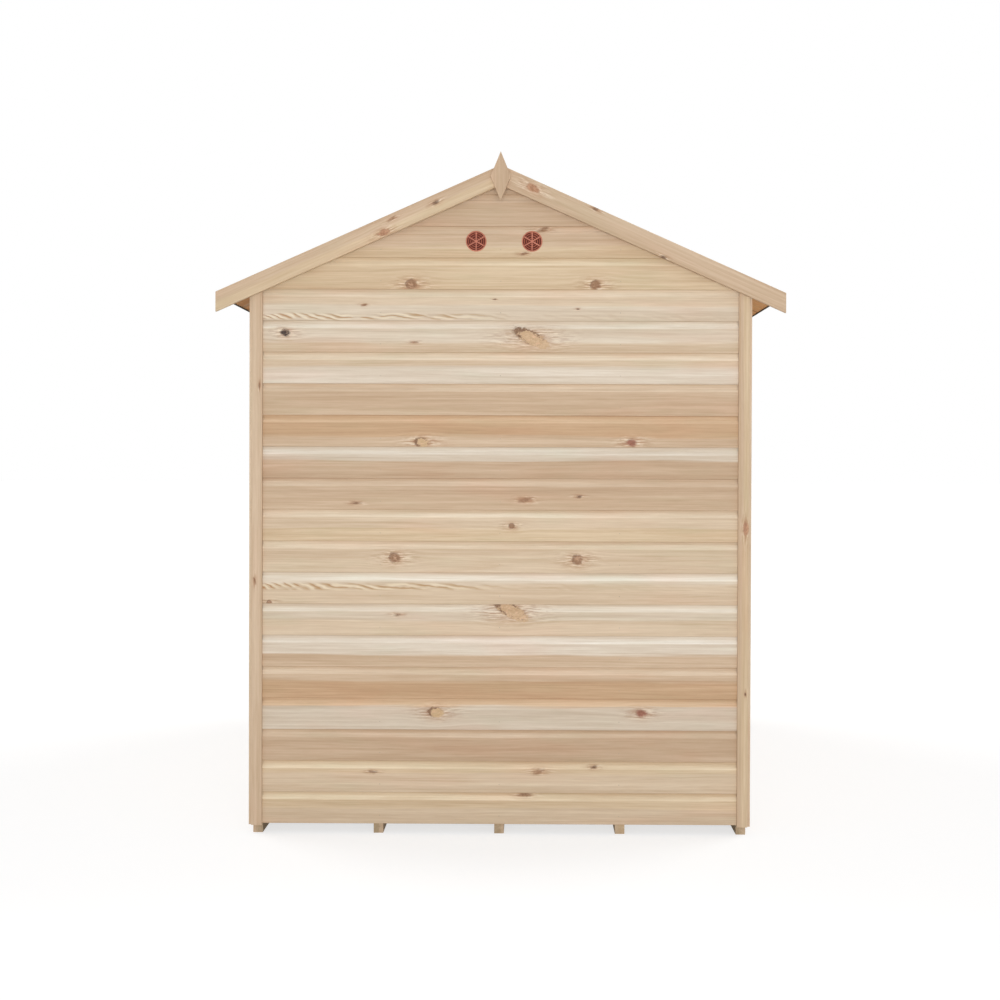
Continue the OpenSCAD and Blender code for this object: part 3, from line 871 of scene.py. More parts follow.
ventSizes = {"rim": 0.0035, "holeGap": 0.0005, "tubeWall": 0.0008, "tubeDepth": 0.012, "flyGap": 0.0001}
ventLow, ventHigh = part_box("rear_vents")
ventRadius = (ventHigh.z - ventLow.z) / 2
ventHeight = (ventHigh.z + ventLow.z) / 2
ventPlaces = (ventLow.x + ventRadius, ventHigh.x - ventRadius)
ventTube = ventRadius - ventSizes["rim"]

gableSizes = {"Left": -halfWidth, "Right": halfWidth, "Ridge height": ridgeHeight}
rearLooks = [look(lower, upper, split, knots, flame, cove=1.0)
             for lower, upper, split, flame, knots in rearBoards]
ventHoles = [(x, ventHeight, ventTube + ventSizes["holeGap"]) for x in ventPlaces]
ventCourse = int((ventHeight - wallFoot) / courseHeight)
# a few courses to a piece, as (first, how many); the course with the vents is one of its own
rearBlocks = [(0, 5), (5, 5), (10, 5), (15, ventCourse - 15), (ventCourse, 1),
              (ventCourse + 1, courses - ventCourse - 1)]
for number, (first, count) in enumerate(rearBlocks):
    boardWall(f"rear_shiplap_{number + 1}", "rear", rearLooks, ["rear_cladding"], first, count, gableSizes,
              ventHoles if first == ventCourse else None)

sideReach = sideHigh.y
sideSizes = {"Left": -sideReach, "Right": sideReach, "Top": eavesHeight}
for side in ("left", "right"):
    looks = [chanceLook(2 * sideReach, courseHeight, cove=1.0) for _ in range(sideCourses)]
    for number, (first, count) in enumerate([(0, 5), (5, 6), (11, sideCourses - 11)]):
        boardWall(f"{side}_shiplap_{number + 1}", side, looks, [side + "_cladding"], first, count, sideSizes)

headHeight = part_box("front_gable_cladding")[0].z
headCourse = round((headHeight - wallFoot) / courseHeight)
looks = [chanceLook(2 * halfWidth, courseHeight, cove=1.0) for _ in range(courses)]
boardWall("front_gable_shiplap", "front", looks, ["front_gable_cladding"], headCourse, courses - headCourse,
          gableSizes)

# beside the doors the boards run under the window's sill, and above it in a narrow strip at the corner
sillCourses, sillLap = 6, 0.0005
for side, sign, edge in (("left", 1, 0), ("right", -1, 1)):
    low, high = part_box(f"front_{side}_cladding")
    inner, outer = sorted((abs(low.x), abs(high.x)))
    windowEdge = abs(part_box(side + "_window_frame")[edge].x)
    looks = [chanceLook(outer - inner, courseHeight, cove=1.0) for _ in range(headCourse)]
    for part, first, count, start, sizes in (("low", 0, sillCourses, inner, {"Lap": sillLap}),
                                             ("edge", sillCourses, headCourse - sillCourses, windowEdge, {})):
        sizes["Left"], sizes["Right"] = sorted((sign * start, sign * outer))
        boardWall(f"front_{side}_shiplap_{part}", "front", looks, [f"front_{side}_cladding"], first, count,
                  sizes)
print("walls boarded")


def sideOf(value):
    return 1 if value > 0 else -1


# the way out of the house along one axis, for a timber at low to high
def outward(low, high, axis):
    return axis * sideOf((low + high).dot(axis))


def slopeAlong(low, high):
    return Vector((1, 0, -rise * sideOf(low.x + high.x)))


# timbers left to chance: they run one way (None is down the roof) and face out of the house (1) or into it
# (-1) along an axis
def chanceTimbers(node, slot, along, axis, way, length, width, tones=trimTones, shade=0.0, **others):
    timbersFrom(node, slot, lambda low, high: (along or slopeAlong(low, high), outward(low, high, axis) * way,
                                               chanceLook(length, width, tones, shade=shade)), **others)


studWidth = 0.038
battenLooks = {
    (-1, -1): look("tan", "tan", 0.006, [(-0.09, 0.008, 0.005, "smudge"), (0.62, -0.008, 0.004, "dash")]),
    (1, -1): look("honey", "tan", 0.004, [(0.105, -0.010, 0.012, "plain"), (-0.5, -0.010, 0.004, "spot")]),
    (-1, 1): look("milk", "oat", 0.002, [(0.3, 0.008, 0.006, "oval")]),
    (1, 1): look("honey", "oat", -0.004, [(-0.4, -0.006, 0.007, "red")]),
}
timbersFrom("gable_corner_battens", "planed_trim",
            lambda low, high: (zAxis, outward(low, high, yAxis),
                               battenLooks[sideOf(low.x + high.x), sideOf(low.y + high.y)]))
chanceTimbers("side_corner_battens", "planed_trim", zAxis, xAxis, 1, 2.0, 0.035)
# bearers, frame and verge battens lie in shade: their shade values darken them with painted shade
for number in range(1, 6):
    chanceTimbers(f"floor_bearer_{number}", "bearer_timber", yAxis, zAxis, -1, 2.4, 0.035, roughTones, 0.2,
                  finish="sawn")
for node, along, axis in (("rear_studs", zAxis, yAxis), ("side_studs", zAxis, xAxis),
                          ("front_studs", zAxis, yAxis), ("rear_rails", xAxis, yAxis),
                          ("front_rails", xAxis, yAxis), ("side_rails", yAxis, xAxis),
                          ("ridge_beam", yAxis, zAxis), ("purlins", yAxis, zAxis)):
    chanceTimbers(node, "frame_timber", along, axis, -1, 2.0, studWidth, roughTones, 0.1, finish="sawn")
chanceTimbers("verge_battens", "frame_timber", None, yAxis, 1, 1.1, 0.027, roughTones, 0.2, finish="sawn")

bargeLooks = {
    "rear_left": look("honey", "tan", -0.004, [(0.094, -0.019, 0.012, "plain"),
                                               (0.14, 0.014, 0.006, "smudge"), (0.31, 0.004, 0.008, "spot")]),
    "rear_right": look("tan", "tan", -0.004, [(-0.44, 0.004, 0.014, "plain"), (-0.20, 0.028, 0.007, "spot"),
                                              (0.092, -0.0315, 0.007, "spot")]),
    "front_left": look("honey", "oat", 0.0, [(0.2, 0.010, 0.008, "oval")]),
    "front_right": look("oat", "blush", 0.006, [(-0.3, -0.012, 0.009, "red"), (0.25, 0.014, 0.005, "dash")]),
}
for corner, bargeLook in bargeLooks.items():
    timbersFrom(corner + "_bargeboard", "planed_trim",
                lambda low, high: (slopeAlong(low, high), outward(low, high, yAxis), bargeLook))
for end in ("rear", "front"):
    timbersFrom(end + "_finial", "planed_trim",
                lambda low, high: (zAxis, outward(low, high, yAxis), look("clay", "tan", -0.004)), ease=0.001)


# boards of a floor, roof or door as one piece; place moves them from the tree's own axes to the house
def plankedPiece(name, sizes, looks, finish, nodes, place=None):
    mesh = grow(planking, sizes)
    sizes = dict(plankSizes, **sizes)
    boardOf = boardNumbers(mesh)
    middle = (sizes["From"] + sizes["To"]) / 2
    grain = []
    for vert, board in zip(mesh.vertices, boardOf):
        x, y, z = vert.co
        thick = (z - sizes["Base"] + abs(x) * sizes["Rise"]) * sizes["Slant"]
        grain.append(((x - middle) * (1 / sizes["Slant"]),
                      y - sizes["Side"] - (board + 0.5) * sizes["Board width"], -thick))
    writeLooks(mesh, grain, boardOf, looks)
    if place:
        mesh.transform(place)
    addPiece(name, mesh, pineOf[finish], nodes)


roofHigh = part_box("right_roof_boards")[1]
eavesReach = roofHigh.x
vergeReach = roofHigh.y
roofCount = 26
roofSizes = {"Board width": 2 * vergeReach / roofCount, "Boards": roofCount, "Side": -vergeReach,
             "Thickness": 0.012, "Rise": rise, "Slant": slant, "Base": ridgeHeight}
# the undersides of the roof: the left boards are darkened with painted shade, and the right ones take the
# pale gold tone, painted light under those eaves
soffitLooks = {
    "left": {"tones": (("amber", "amber"), ("amber", "rust"), ("rust", "amber")), "shade": 0.12},
    "right": {"tones": (("gold", "gold"), ("gold", "amber"), ("gold", "gold")), "shade": 0.0},
}
for side, ends in (("left", (-eavesReach, 0.0)), ("right", (0.0, eavesReach))):
    looks = [chanceLook(1.1, roofSizes["Board width"], **soffitLooks[side]) for _ in range(roofCount)]
    plankedPiece(side + "_roof_planking", dict(roofSizes, **{"From": ends[0], "To": ends[1]}), looks,
                 "sawn", [side + "_roof_boards"])

floorLow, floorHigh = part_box("floor_boards")
floorCount = 26
floorSizes = {"From": floorLow.x, "To": floorHigh.x, "Boards": floorCount, "Side": floorLow.y,
              "Board width": (floorHigh.y - floorLow.y) / floorCount, "Thickness": floorHigh.z - floorLow.z,
              "Groove": 0.001}
looks = [chanceLook(1.8, floorSizes["Board width"]) for _ in range(floorCount)]
turnOver = Matrix(((-1, 0, 0, 0), (0, 1, 0, 0), (0, 0, -1, floorHigh.z), (0, 0, 0, 1)))
plankedPiece("floor_planking", floorSizes, looks, "planed", ["floor_boards"], turnOver)
print("roof and floor boarded")


def objectPlace(start):
    return start.add("ShaderNodeTexCoord", None, None, "Object")


def makeFelt():
    material, start = newMaterial("mineral_felt")
    place = objectPlace(start)
    grit = start.add("ShaderNodeTexVoronoi", None, {"Vector": place, "Scale": 900.0}, "Color")
    gritR, gritG, gritB = parts(grit)
    patches = evenNoise(place, 3.0, 4.0, 0.6)
    scuffs = grainNoise(place, (2.0, 22.0, 22.0), 3.0, 0.6)
    colour = mixColour(smooth(gritR, 0.2, 0.9), paint(58, 60, 60), paint(92, 94, 92))
    colour = mixColour(smooth(gritG, 0.86, 0.95), colour, paint(142, 142, 136))
    colour = mixColour(smooth(patches, 0.45, 0.75) * 0.5, colour, paint(84, 82, 76))
    colour = mixColour(smooth(scuffs, 0.58, 0.75) * 0.3, colour, paint(112, 110, 104))
    height = gritB * 0.0005 + patches * 0.002
    finishMaterial(start, surface(start, {"Base Color": colour, "Roughness": 0.86 + gritR * 0.1}, height))
    return material


def makePlastic(name, dark, pale):
    material, start = newMaterial(name)
    place = objectPlace(start)
    cloud, specks = evenNoise(place, 40.0, 3.0), evenNoise(place, 900.0)
    colour = mixColour(smooth(cloud, 0.35, 0.7), dark, pale)
    colour = mixColour(smooth(specks, 0.58, 0.7) * 0.4, colour, paint(206, 138, 116))
    values = {"Base Color": colour, "Roughness": 0.42 + cloud * 0.2}
    finishMaterial(start, surface(start, values, specks * 0.0002 + cloud * 0.0003, 0.3))
    return material


def makeFlyMesh():
    material, start = newMaterial("vent_fly_mesh")
    x, _, z = parts(objectPlace(start))
    half = 0.0007       # of the way from thread to thread
    holeX, holeZ = [smooth(start.sum("PINGPONG", across, half) / half, 0.25, 0.5) for across in (x, z)]
    # the holes are painted near black: painted shade of the dark inside seen through the mesh
    holes = holeX * holeZ
    colour = mixColour(holes, paint(122, 54, 42), paint(46, 18, 14))
    finishMaterial(start, surface(start, {"Base Color": colour, "Roughness": 0.7 + holes * 0.2}))
    return material


def makeIron():
    material, start = newMaterial("black_iron")
    place = objectPlace(start)
    mottle, pits = evenNoise(place, 120.0, 4.0, 0.6), evenNoise(place, 1500.0)
    colour = mixColour(smooth(mottle, 0.4, 0.75), paint(34, 34, 36), paint(58, 57, 58))
    colour = mixColour(smooth(pits, 0.66, 0.76) * 0.4, colour, paint(98, 94, 92))
    values = {"Base Color": colour, "Roughness": 0.36 + mottle * 0.3,
              "Coat Weight": smooth(mottle, 0.8, 0.3) * 0.3}
    finishMaterial(start, surface(start, values, mottle * 0.0004 + pits * 0.0001))
    return material


def makeZinc():
    material, start = newMaterial("nail_zinc")
    mottle = evenNoise(objectPlace(start), 300.0, 3.0)
    colour = mixColour(mottle, paint(150, 138, 122), paint(186, 176, 160))
    values = {"Base Color": colour, "Roughness": 0.35 + mottle * 0.3, "Metallic": 0.6 + mottle * 0.2}
    finishMaterial(start, surface(start, values))
    return material


# clear glass, which lets the rays that only carry light pass straight through
def makeGlass():
    material, start = newMaterial("clear_pane")
    place = objectPlace(start)
    wave, dust = evenNoise(place, 5.0), evenNoise(place, 60.0, 4.0, 0.7)
    values = {"Base Color": mixColour(dust, paint(236, 243, 240), paint(246, 250, 248)),
              "Roughness": 0.02 + dust * 0.05, "IOR": 1.49, "Transmission Weight": 1.0}
    pane = surface(start, values, wave * 0.002, 0.2)
    clear = start.add("ShaderNodeBsdfTransparent", None, {"Color": (0.93, 0.96, 0.95, 1.0)})
    path = start.add("ShaderNodeLightPath", None, None, "Is Shadow Ray")
    lighting = start.sum("MAXIMUM", path, path.twin("Is Diffuse Ray"))
    finishMaterial(start, start.add("ShaderNodeMixShader", None, {0: lighting, 1: pane, 2: clear}))
    return material


felt, flyMesh, iron, zinc, glass = makeFelt(), makeFlyMesh(), makeIron(), makeZinc(), makeGlass()
# one plastic in two copies: the paler one for rim, hub and spokes, and a darker one for the rings, painted
# shade of their recess between the spokes
plastic = makePlastic("vent_plastic", paint(182, 104, 80), paint(204, 126, 100))
shadedPlasticCopy = makePlastic("vent_plastic_shaded_copy", paint(160, 78, 52), paint(178, 94, 66))


# faces from ring to ring of points, where a ring may be a single point
def skin(bm, rings, steps):
    for a, b in zip(rings, rings[1:]):
        for k in range(steps):
            n = (k + 1) % steps
            corners = [a[k % len(a)], a[n % len(a)], b[n % len(b)], b[k % len(b)]]
            bm.faces.new(list(dict.fromkeys(corners)))


# the points of a unit circle, as (cosine, sine)
def circle(steps):
    return [(math.cos(math.tau * k / steps), math.sin(math.tau * k / steps)) for k in range(steps)]


# a turned shape about Z: profile as (radius, height), closed on itself or at the axis
def turned(profile, steps=64):
    bm = bmesh.new()
    rings = []
    for radius, height in profile:
        if radius == 0.0:
            rings.append([bm.verts.new((0, 0, height))])
        else:
            rings.append([bm.verts.new((radius * c, radius * s, height)) for c, s in circle(steps)])
    if profile[0][0] != 0.0:
        rings.append(rings[0])
    skin(bm, rings, steps)
    return solidMesh(bm)


# meshes set down at their places as one piece
def mergedPiece(name, things, material, nodes, sharpAngle=None):
    bm = bmesh.new()
    for mesh, place in things:
        copy = mesh.copy()
        copy.transform(place)
        bm.from_mesh(copy)
        bpy.data.meshes.remove(copy)
    whole = bpy.data.meshes.new(name)
    bm.to_mesh(whole)
    bm.free()
    if sharpAngle:
        smoothed(whole, sharpAngle)
    addPiece(name, whole, material, nodes)


feltSizes = {"thickness": 0.0028, "step": 0.035, "rows": 76, "wave": 0.0011, "lip": 0.005, "over": 0.0001,
             "capReach": 0.24, "capSteps": 14, "capGap": 0.0012, "capDip": 0.004, "capWave": 0.0006}


# a sheet of felt along the house: path holds places across it as (x, z), and wave how much it bulges
def feltSheet(name, path, nodes, wave, seed):
    count, rows = len(path), feltSizes["rows"]
    outs = []
    for i in range(count):
        before, after = path[max(i - 1, 0)], path[min(i + 1, count - 1)]
        way = Vector((after[0] - before[0], 0, after[1] - before[1])).normalized()
        outs.append(Vector((-way.z, 0, way.x)) * sideOf(path[-1][0] - path[0][0]))
    bm = bmesh.new()
    verts = []
    for layer in (1, 0):
        for j in range(rows + 1):
            y = -vergeReach + 2 * vergeReach * j / rows
            fade = min(1, 4 * j / rows, 4 * (1 - j / rows))
            for (x, z), out in zip(path, outs):
                bulge = (noise.noise(Vector((x * 2.4 + seed, y * 2.8, 0)))
                         + 0.5 * noise.noise(Vector((x * 7.0, y * 8.0 + seed, 3))))
                lift = feltSizes["thickness"] * layer + max(0.0, bulge) * wave * fade
                verts.append(bm.verts.new(Vector((x, y, z)) + out * lift))
    under = (rows + 1) * count      # from a point of the upper layer to the one below it
    faces = []
    for j in range(rows):
        for a in range(j * count, (j + 1) * count - 1):
            b, c, d = a + 1, a + count + 1, a + count
            faces += [(a, b, c, d), (under + a, under + d, under + c, under + b)]
    rim = [*range(0, rows * count, count), *range(rows * count, under - 1),
           *range(under - 1, count - 1, -count), *range(count - 1, 0, -1)]
    faces += [(a, b, under + b, under + a) for a, b in zip(rim, rim[1:] + rim[:1])]
    for face in faces:
        bm.faces.new([verts[corner] for corner in face])
    addPiece(name, smoothed(solidMesh(bm), 40), felt, nodes)


roofTop = roofSizes["Thickness"] / slant
for side, sign in (("left", -1), ("right", 1)):
    steps = round(eavesReach / feltSizes["step"])
    reaches = [eavesReach * i / steps for i in range(steps + 1)]
    path = [(sign * reach, roofLine(reach) + roofTop) for reach in reaches]
    path.append((sign * (eavesReach + feltSizes["over"]), roofLine(eavesReach) - feltSizes["lip"]))
    feltSheet(side + "_felt_sheet", path, [side + "_roof_felt"], feltSizes["wave"], 3.0 + sign)
capReach, capSteps = feltSizes["capReach"], feltSizes["capSteps"]
capLift = (feltSizes["thickness"] + feltSizes["capGap"]) / slant
path = [(capReach * i / capSteps, roofLine(capReach * i / capSteps) + roofTop + capLift
         - (0 if i else feltSizes["capDip"])) for i in range(-capSteps, capSteps + 1)]
feltSheet("felt_ridge_cap", path, ["left_roof_felt", "right_roof_felt"], feltSizes["capWave"], 9.0)

# clout nails along the lap of the cap, over two layers of felt, and along both eaves, over one
cloutSizes = {"Radius": 0.0042, "Height": 0.0011, "Rows": 1, "Columns": 31, "Column gap": 0.08}
cloutMesh = grow(heads, cloutSizes)
capInset, eavesInset = 0.02, 0.025
waveRoom = 0.0013       # for each layer, so that its waves stay under the heads
clouts = []
for sign in (-1, 1):
    for x, layers in ((capReach - capInset, 2), (eavesReach - eavesInset, 1)):
        lift = (roofSizes["Thickness"] + feltSizes["thickness"] * layers + waveRoom * layers) / slant
        clouts.append((cloutMesh, facing((sign * x, 0, roofLine(x) + lift), yAxis * sign, (-sign, 0, rise))))
mergedPiece("felt_clout_nails", clouts, zinc, [])
print("roof felted")

ringSizes = {"Rings": 3, "First radius": 0.0118, "Ring gap": 0.0081, "Ring width": 0.0015, "Spokes": 0}
spokeSizes = {"Rings": 0, "Spokes": 6, "Spoke width": 0.0038, "Spoke length": 0.0333, "Spoke depth": 0.0030}
ventInner = ventTube - ventSizes["tubeWall"]
flyReach = ventInner - ventSizes["flyGap"]
rimProfile = [(ventInner, -ventSizes["tubeDepth"]), (ventInner, 0.0012), (ventTube - 0.0002, 0.0022),
              (ventTube + 0.0005, 0.0030), (ventRadius - 0.0016, 0.0030), (ventRadius - 0.0006, 0.0025),
              (ventRadius, 0.0013), (ventRadius, 0.0), (ventTube, 0.0), (ventTube, -ventSizes["tubeDepth"])]
hubProfile = [(0.0, -0.0012), (0.0058, -0.0012), (0.0058, 0.0014), (0.0050, 0.0022), (0.0030, 0.0027),
              (0.0, 0.0030)]
flyProfile = [(0.0, -0.0062), (flyReach, -0.0062), (flyReach, -0.0054), (0.0, -0.0054)]

# the parts of a vent in three finishes, each mesh with how far out it stands
ventParts = (
    ("vent_grilles", plastic, ((turned(rimProfile), 0.0), (turned(hubProfile, 32), 0.0),
                               (grow(grille, spokeSizes), 0.0006))),
    ("vent_rings", shadedPlasticCopy, ((grow(grille, ringSizes), -0.0008),)),
    ("vent_fly_meshes", flyMesh, ((turned(flyProfile), 0.0),)),
)
for name, material, shapes in ventParts:
    things = [(mesh, wallFaces["rear"] @ Matrix.Translation((x, ventHeight, out)))
              for x in ventPlaces for mesh, out in shapes]
    mergedPiece(name, things, material, ["rear_vents"], 35)
print("vents made")


joinery = {"bead": 0.009, "bar": 0.016, "beadEase": 0.0012, "windowBars": 3, "doorBars": 2, "seam": 0.0002,
           "windowMember": 0.035, "stile": 0.065, "panelBoards": 5}


# beads round the pane at low to high on both its sides, and so many bars up and across it, as timbers
def glazing(low, high, upright, level):
    bead, bar, seam = joinery["bead"], joinery["bar"], joinery["seam"]
    left, right, foot, top = low.x + bead, high.x - bead, low.z + bead, high.z - bead
    columnStep = (high.x - low.x) / (upright + 1)
    rowStep = (high.z - low.z) / (level + 1)
    columns = [low.x + i * columnStep for i in range(1, upright + 1)]
    stops = [left - bar / 2, *columns, right + bar / 2]
    out = []
    for face, near, far in ((yAxis, high.y + seam, high.y + bead), (-yAxis, low.y - bead, low.y - seam)):
        bars = [(low.x, left, low.z, high.z), (right, high.x, low.z, high.z),
                (left + seam, right - seam, low.z, foot), (left + seam, right - seam, top, high.z)]
        bars += [(x - bar / 2, x + bar / 2, foot + seam, top - seam) for x in columns]
        for j in range(1, level + 1):
            z = low.z + j * rowStep
            bars += [(a + bar / 2 + seam, b - bar / 2 - seam, z - bar / 2, z + bar / 2)
                     for a, b in zip(stops, stops[1:])]
        for x0, x1, z0, z1 in bars:
            along = zAxis if z1 - z0 > x1 - x0 else xAxis
            out.append((blockSolid((x0, near, z0), (x1, far, z1)), along, face,
                        chanceLook(0.5, bar, trimTones, 2.0)))
    return out


# uprights and rails round an opening: rails are (bottom, top) heights between the uprights
def framing(low, high, upright, rails):
    left, right = low.x + upright, high.x - upright
    out = []
    for a, b in ((low.x, left), (right, high.x)):
        out.append((blockSolid((a, low.y, low.z), (b, high.y, high.z)), zAxis, yAxis,
                    chanceLook(1.8, upright, trimTones)))
    for bottom, top in rails:
        out.append((blockSolid((left, low.y, bottom), (right, high.y, top)), xAxis, yAxis,
                    chanceLook(0.4, 0.06, trimTones)))
    return out


paneBoxes = [boundsOf(bm) for bm in cadSolids("panes")]


# the pane of a frame, by how far their middles are apart
def paneIn(low, high):
    return min(paneBoxes, key=lambda box: abs(box[0].x + box[1].x - low.x - high.x))


for side in ("left", "right"):
    low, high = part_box(side + "_window_frame")
    pane = paneIn(low, high)
    rails = [(low.z, pane[0].z), (pane[1].z, high.z)]
    timberPiece(side + "_window_joinery", framing(low, high, joinery["windowMember"], rails),
                [side + "_window_frame"])
    timberPiece(side + "_window_beads", glazing(*pane, 0, joinery["windowBars"]), [],
                ease=joinery["beadEase"])
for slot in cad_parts["panes"].material_slots:
    slot.material = glass

panelLow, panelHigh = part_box("door_panels")
standUp = Matrix(((0, -1, 0, 0), (0, 0, -1, panelHigh.y), (1, 0, 0, 0), (0, 0, 0, 1)))    # grooves outwards
for side in ("left", "right"):
    low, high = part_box(side + "_door_frame")
    pane = paneIn(low, high)
    rails = [(low.z, panelLow.z), (panelHigh.z, pane[0].z), (pane[1].z, high.z)]
    timberPiece(side + "_door_joinery", framing(low, high, joinery["stile"], rails),
                [side + "_door_frame"], ease=0.002)
    timberPiece(side + "_door_beads", glazing(*pane, 1, joinery["doorBars"]), [],
                ease=joinery["beadEase"])
    panelSizes = {"From": panelLow.z, "To": panelHigh.z, "Boards": joinery["panelBoards"], "Side": -pane[1].x,
                  "Board width": (pane[1].x - pane[0].x) / joinery["panelBoards"],
                  "Thickness": panelHigh.y - panelLow.y}
    looks = [chanceLook(0.62, panelSizes["Board width"]) for _ in range(joinery["panelBoards"])]
    plankedPiece(side + "_door_panel_boards", panelSizes, looks, "planed", ["door_panels"],
                 standUp)
for node, along, length, width, ease in (("door_sill", xAxis, 1.1, 0.05, 0.003),
                                         ("door_casings", zAxis, 1.8, 0.038, 0.0015),
                                         ("door_cover_strip", zAxis, 1.8, 0.03, 0.002)):
    chanceTimbers(node, "planed_trim", along, yAxis, 1, length, width, ease=ease)
print("doors and windows joined")


# a tube along a path of (point, radius), closed at both ends
def tubeMesh(path, steps, side=xAxis):
    bm = bmesh.new()
    rings = []
    for number, (point, radius) in enumerate(path):
        before, after = Vector(path[max(number - 1, 0)][0]), Vector(path[min(number + 1, len(path) - 1)][0])
        way = (after - before).normalized()
        across = (side - way * side.dot(way)).normalized()
        other = way.cross(across)
        rings.append([bm.verts.new(Vector(point) + (across * c + other * s) * radius)
                      for c, s in circle(steps)])
    skin(bm, rings, steps)
    bm.faces.new(rings[0][::-1])
    bm.faces.new(rings[-1])
    return solidMesh(bm)


# a flat plate about its middle, with its corners rounded in plan and its edges eased
def plateMesh(width, height, thickness, corner, ease=0.0004):
    bm = blockSolid((-width / 2, -height / 2, 0), (width / 2, height / 2, thickness))
    bevel(bm, [edge for edge in bm.edges if abs(edge.verts[0].co.z - edge.verts[1].co.z) > thickness / 2],
          corner, 8)
    bevel(bm, [edge for edge in bm.edges if all(vert.co.z > thickness * 0.9 for vert in edge.verts)
               and edge.calc_face_angle() > 0.5], ease)
    return solidMesh(bm)


# a round screw head with a cross cut into it
def screwMesh(radius, height):
    head = turned([(0.0, -0.0004), (radius, -0.0004), (radius, height * 0.2), (radius * 0.86, height * 0.7),
                   (radius * 0.55, height * 0.95), (0.0, height)], 24)
    cross = bmesh.new()
    for wide, deep in ((1.3, 0.26), (0.26, 1.3)):
        reachX, reachY = wide * radius / 2, deep * radius / 2
        arm = solidMesh(blockSolid((-reachX, -reachY, height * 0.45), (reachX, reachY, height * 2)))
        cross.from_mesh(arm)
        bpy.data.meshes.remove(arm)
    return carved(head, cross)


# butt hinges: two leaves with three screws each, and knuckles round a pin with a ball at both ends
hingeSizes = {"leaf": 0.0016, "corner": 0.004, "knuckles": 5, "knuckleGap": 0.0006, "pin": 0.0026,
              "screw": 0.0032, "screwHeight": 0.0013}
hingeScrew = screwMesh(hingeSizes["screw"], hingeSizes["screwHeight"])
hingeThings = []
for bm in cadSolids("door_hinges"):
    low, high = boundsOf(bm)
    middle = (low + high) / 2
    spot = facing((middle.x, low.y, middle.z), -xAxis, zAxis)
    tall, wide, barrel = high.z - low.z, high.x - low.x, (high.y - low.y) / 2
    leafWidth = wide / 2 - barrel * 0.75
    leaf = plateMesh(leafWidth, tall, hingeSizes["leaf"], hingeSizes["corner"])
    for sign in (-1, 1):
        centre = sign * (wide - leafWidth) / 2
        hingeThings.append((leaf, spot @ Matrix.Translation((centre, 0, 0))))
        for height, shift in ((-0.36, 0.1), (0.0, -0.1), (0.36, 0.1)):
            at = (centre + sign * shift * leafWidth, height * tall, hingeSizes["leaf"])
            hingeThings.append((hingeScrew, spot @ Matrix.Translation(at)))
    step, gap, pin = tall / hingeSizes["knuckles"], hingeSizes["knuckleGap"], hingeSizes["pin"]
    ball, chamfer = tall / 2 + pin * 0.7, barrel * 0.12
    tubes = []
    for number in range(hingeSizes["knuckles"]):
        foot = -tall / 2 + number * step
        first, last = foot + gap / 2, foot + step - gap / 2
        tubes.append((24, ((first, barrel - chamfer), (first + chamfer, barrel), (last - chamfer, barrel),
                           (last, barrel - chamfer))))
    tubes.append((16, ((-ball, pin * 0.6), (-tall / 2, pin), (tall / 2, pin), (ball, pin * 0.6))))
    for steps, tube in tubes:
        path = [((0, height, barrel), radius) for height, radius in tube]
        hingeThings.append((tubeMesh(path, steps), spot))
    bm.free()
mergedPiece("door_butt_hinges", hingeThings, iron, ["door_hinges"], 30)

handleSizes = {"plateWidth": 0.036, "plate": 0.0024, "corner": 0.012, "edge": 0.0009, "spindle": 0.008,
               "lever": 0.0068, "rose": 0.014, "sag": 0.006, "screw": 0.0038, "screwHeight": 0.0014}
plateWidth, spindle, leverRadius = [handleSizes[key] for key in ("plateWidth", "spindle", "lever")]
handleLow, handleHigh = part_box("door_handle")
sign = sideOf(handleLow.x + handleHigh.x)
plateX = min(handleLow.x, handleHigh.x, key=abs) + sign * plateWidth / 2
plateTall = handleHigh.z - handleLow.z
spot = facing((plateX, handleLow.y, (handleLow.z + handleHigh.z) / 2), -xAxis, zAxis)

# the lever comes out of the plate, bends away from the middle of the doors and runs on with a slight sag
leverHeight = plateTall * 0.1
out = handleHigh.y - handleLow.y - leverRadius
bendRadius = out * 0.4
leverEnd = -sign * ((handleHigh.x - handleLow.x) - plateWidth / 2)
lever = [((0, leverHeight, 0), spindle), ((0, leverHeight, out * 0.45), spindle * 0.9)]
for turn in range(0, 91, 15):
    angle = math.radians(turn)
    lever.append(((-sign * bendRadius * (1 - math.cos(angle)), leverHeight,
                   out - bendRadius * (1 - math.sin(angle))), leverRadius * (1.1 - turn / 90 * 0.1)))
for part in (0.4, 0.55, 0.7, 0.85, 0.95, 1.0):
    sag = handleSizes["sag"] * math.sin(part * math.pi)
    lever.append(((leverEnd * part, leverHeight - sag, out), leverRadius * (1 if part < 1 else 0.55)))
rose = turned([(0.0, 0.0), (handleSizes["rose"], 0.0), (handleSizes["rose"], 0.002),
               (handleSizes["rose"] * 0.8, 0.005), (spindle * 1.1, 0.007), (0.0, 0.007)], 32)
keyhole = turned([(0.0026, 0.0), (0.0070, 0.0), (0.0070, 0.0012), (0.0058, 0.0018), (0.0038, 0.0018),
                  (0.0026, 0.0006)])
handleScrew = screwMesh(handleSizes["screw"], handleSizes["screwHeight"])
plate = plateMesh(plateWidth, plateTall, handleSizes["plate"], handleSizes["corner"], handleSizes["edge"])
handleThings = [(plate, spot), (tubeMesh(lever, 24, yAxis), spot)]
for mesh, height in ((rose, leverHeight), (keyhole, -plateTall * 0.22), (handleScrew, -0.41 * plateTall),
                     (handleScrew, 0.41 * plateTall)):
    handleThings.append((mesh, spot @ Matrix.Translation((0, height, handleSizes["plate"]))))
mergedPiece("door_lever_handle", handleThings, iron, ["door_handle"], 30)
print("hinges and handle made")

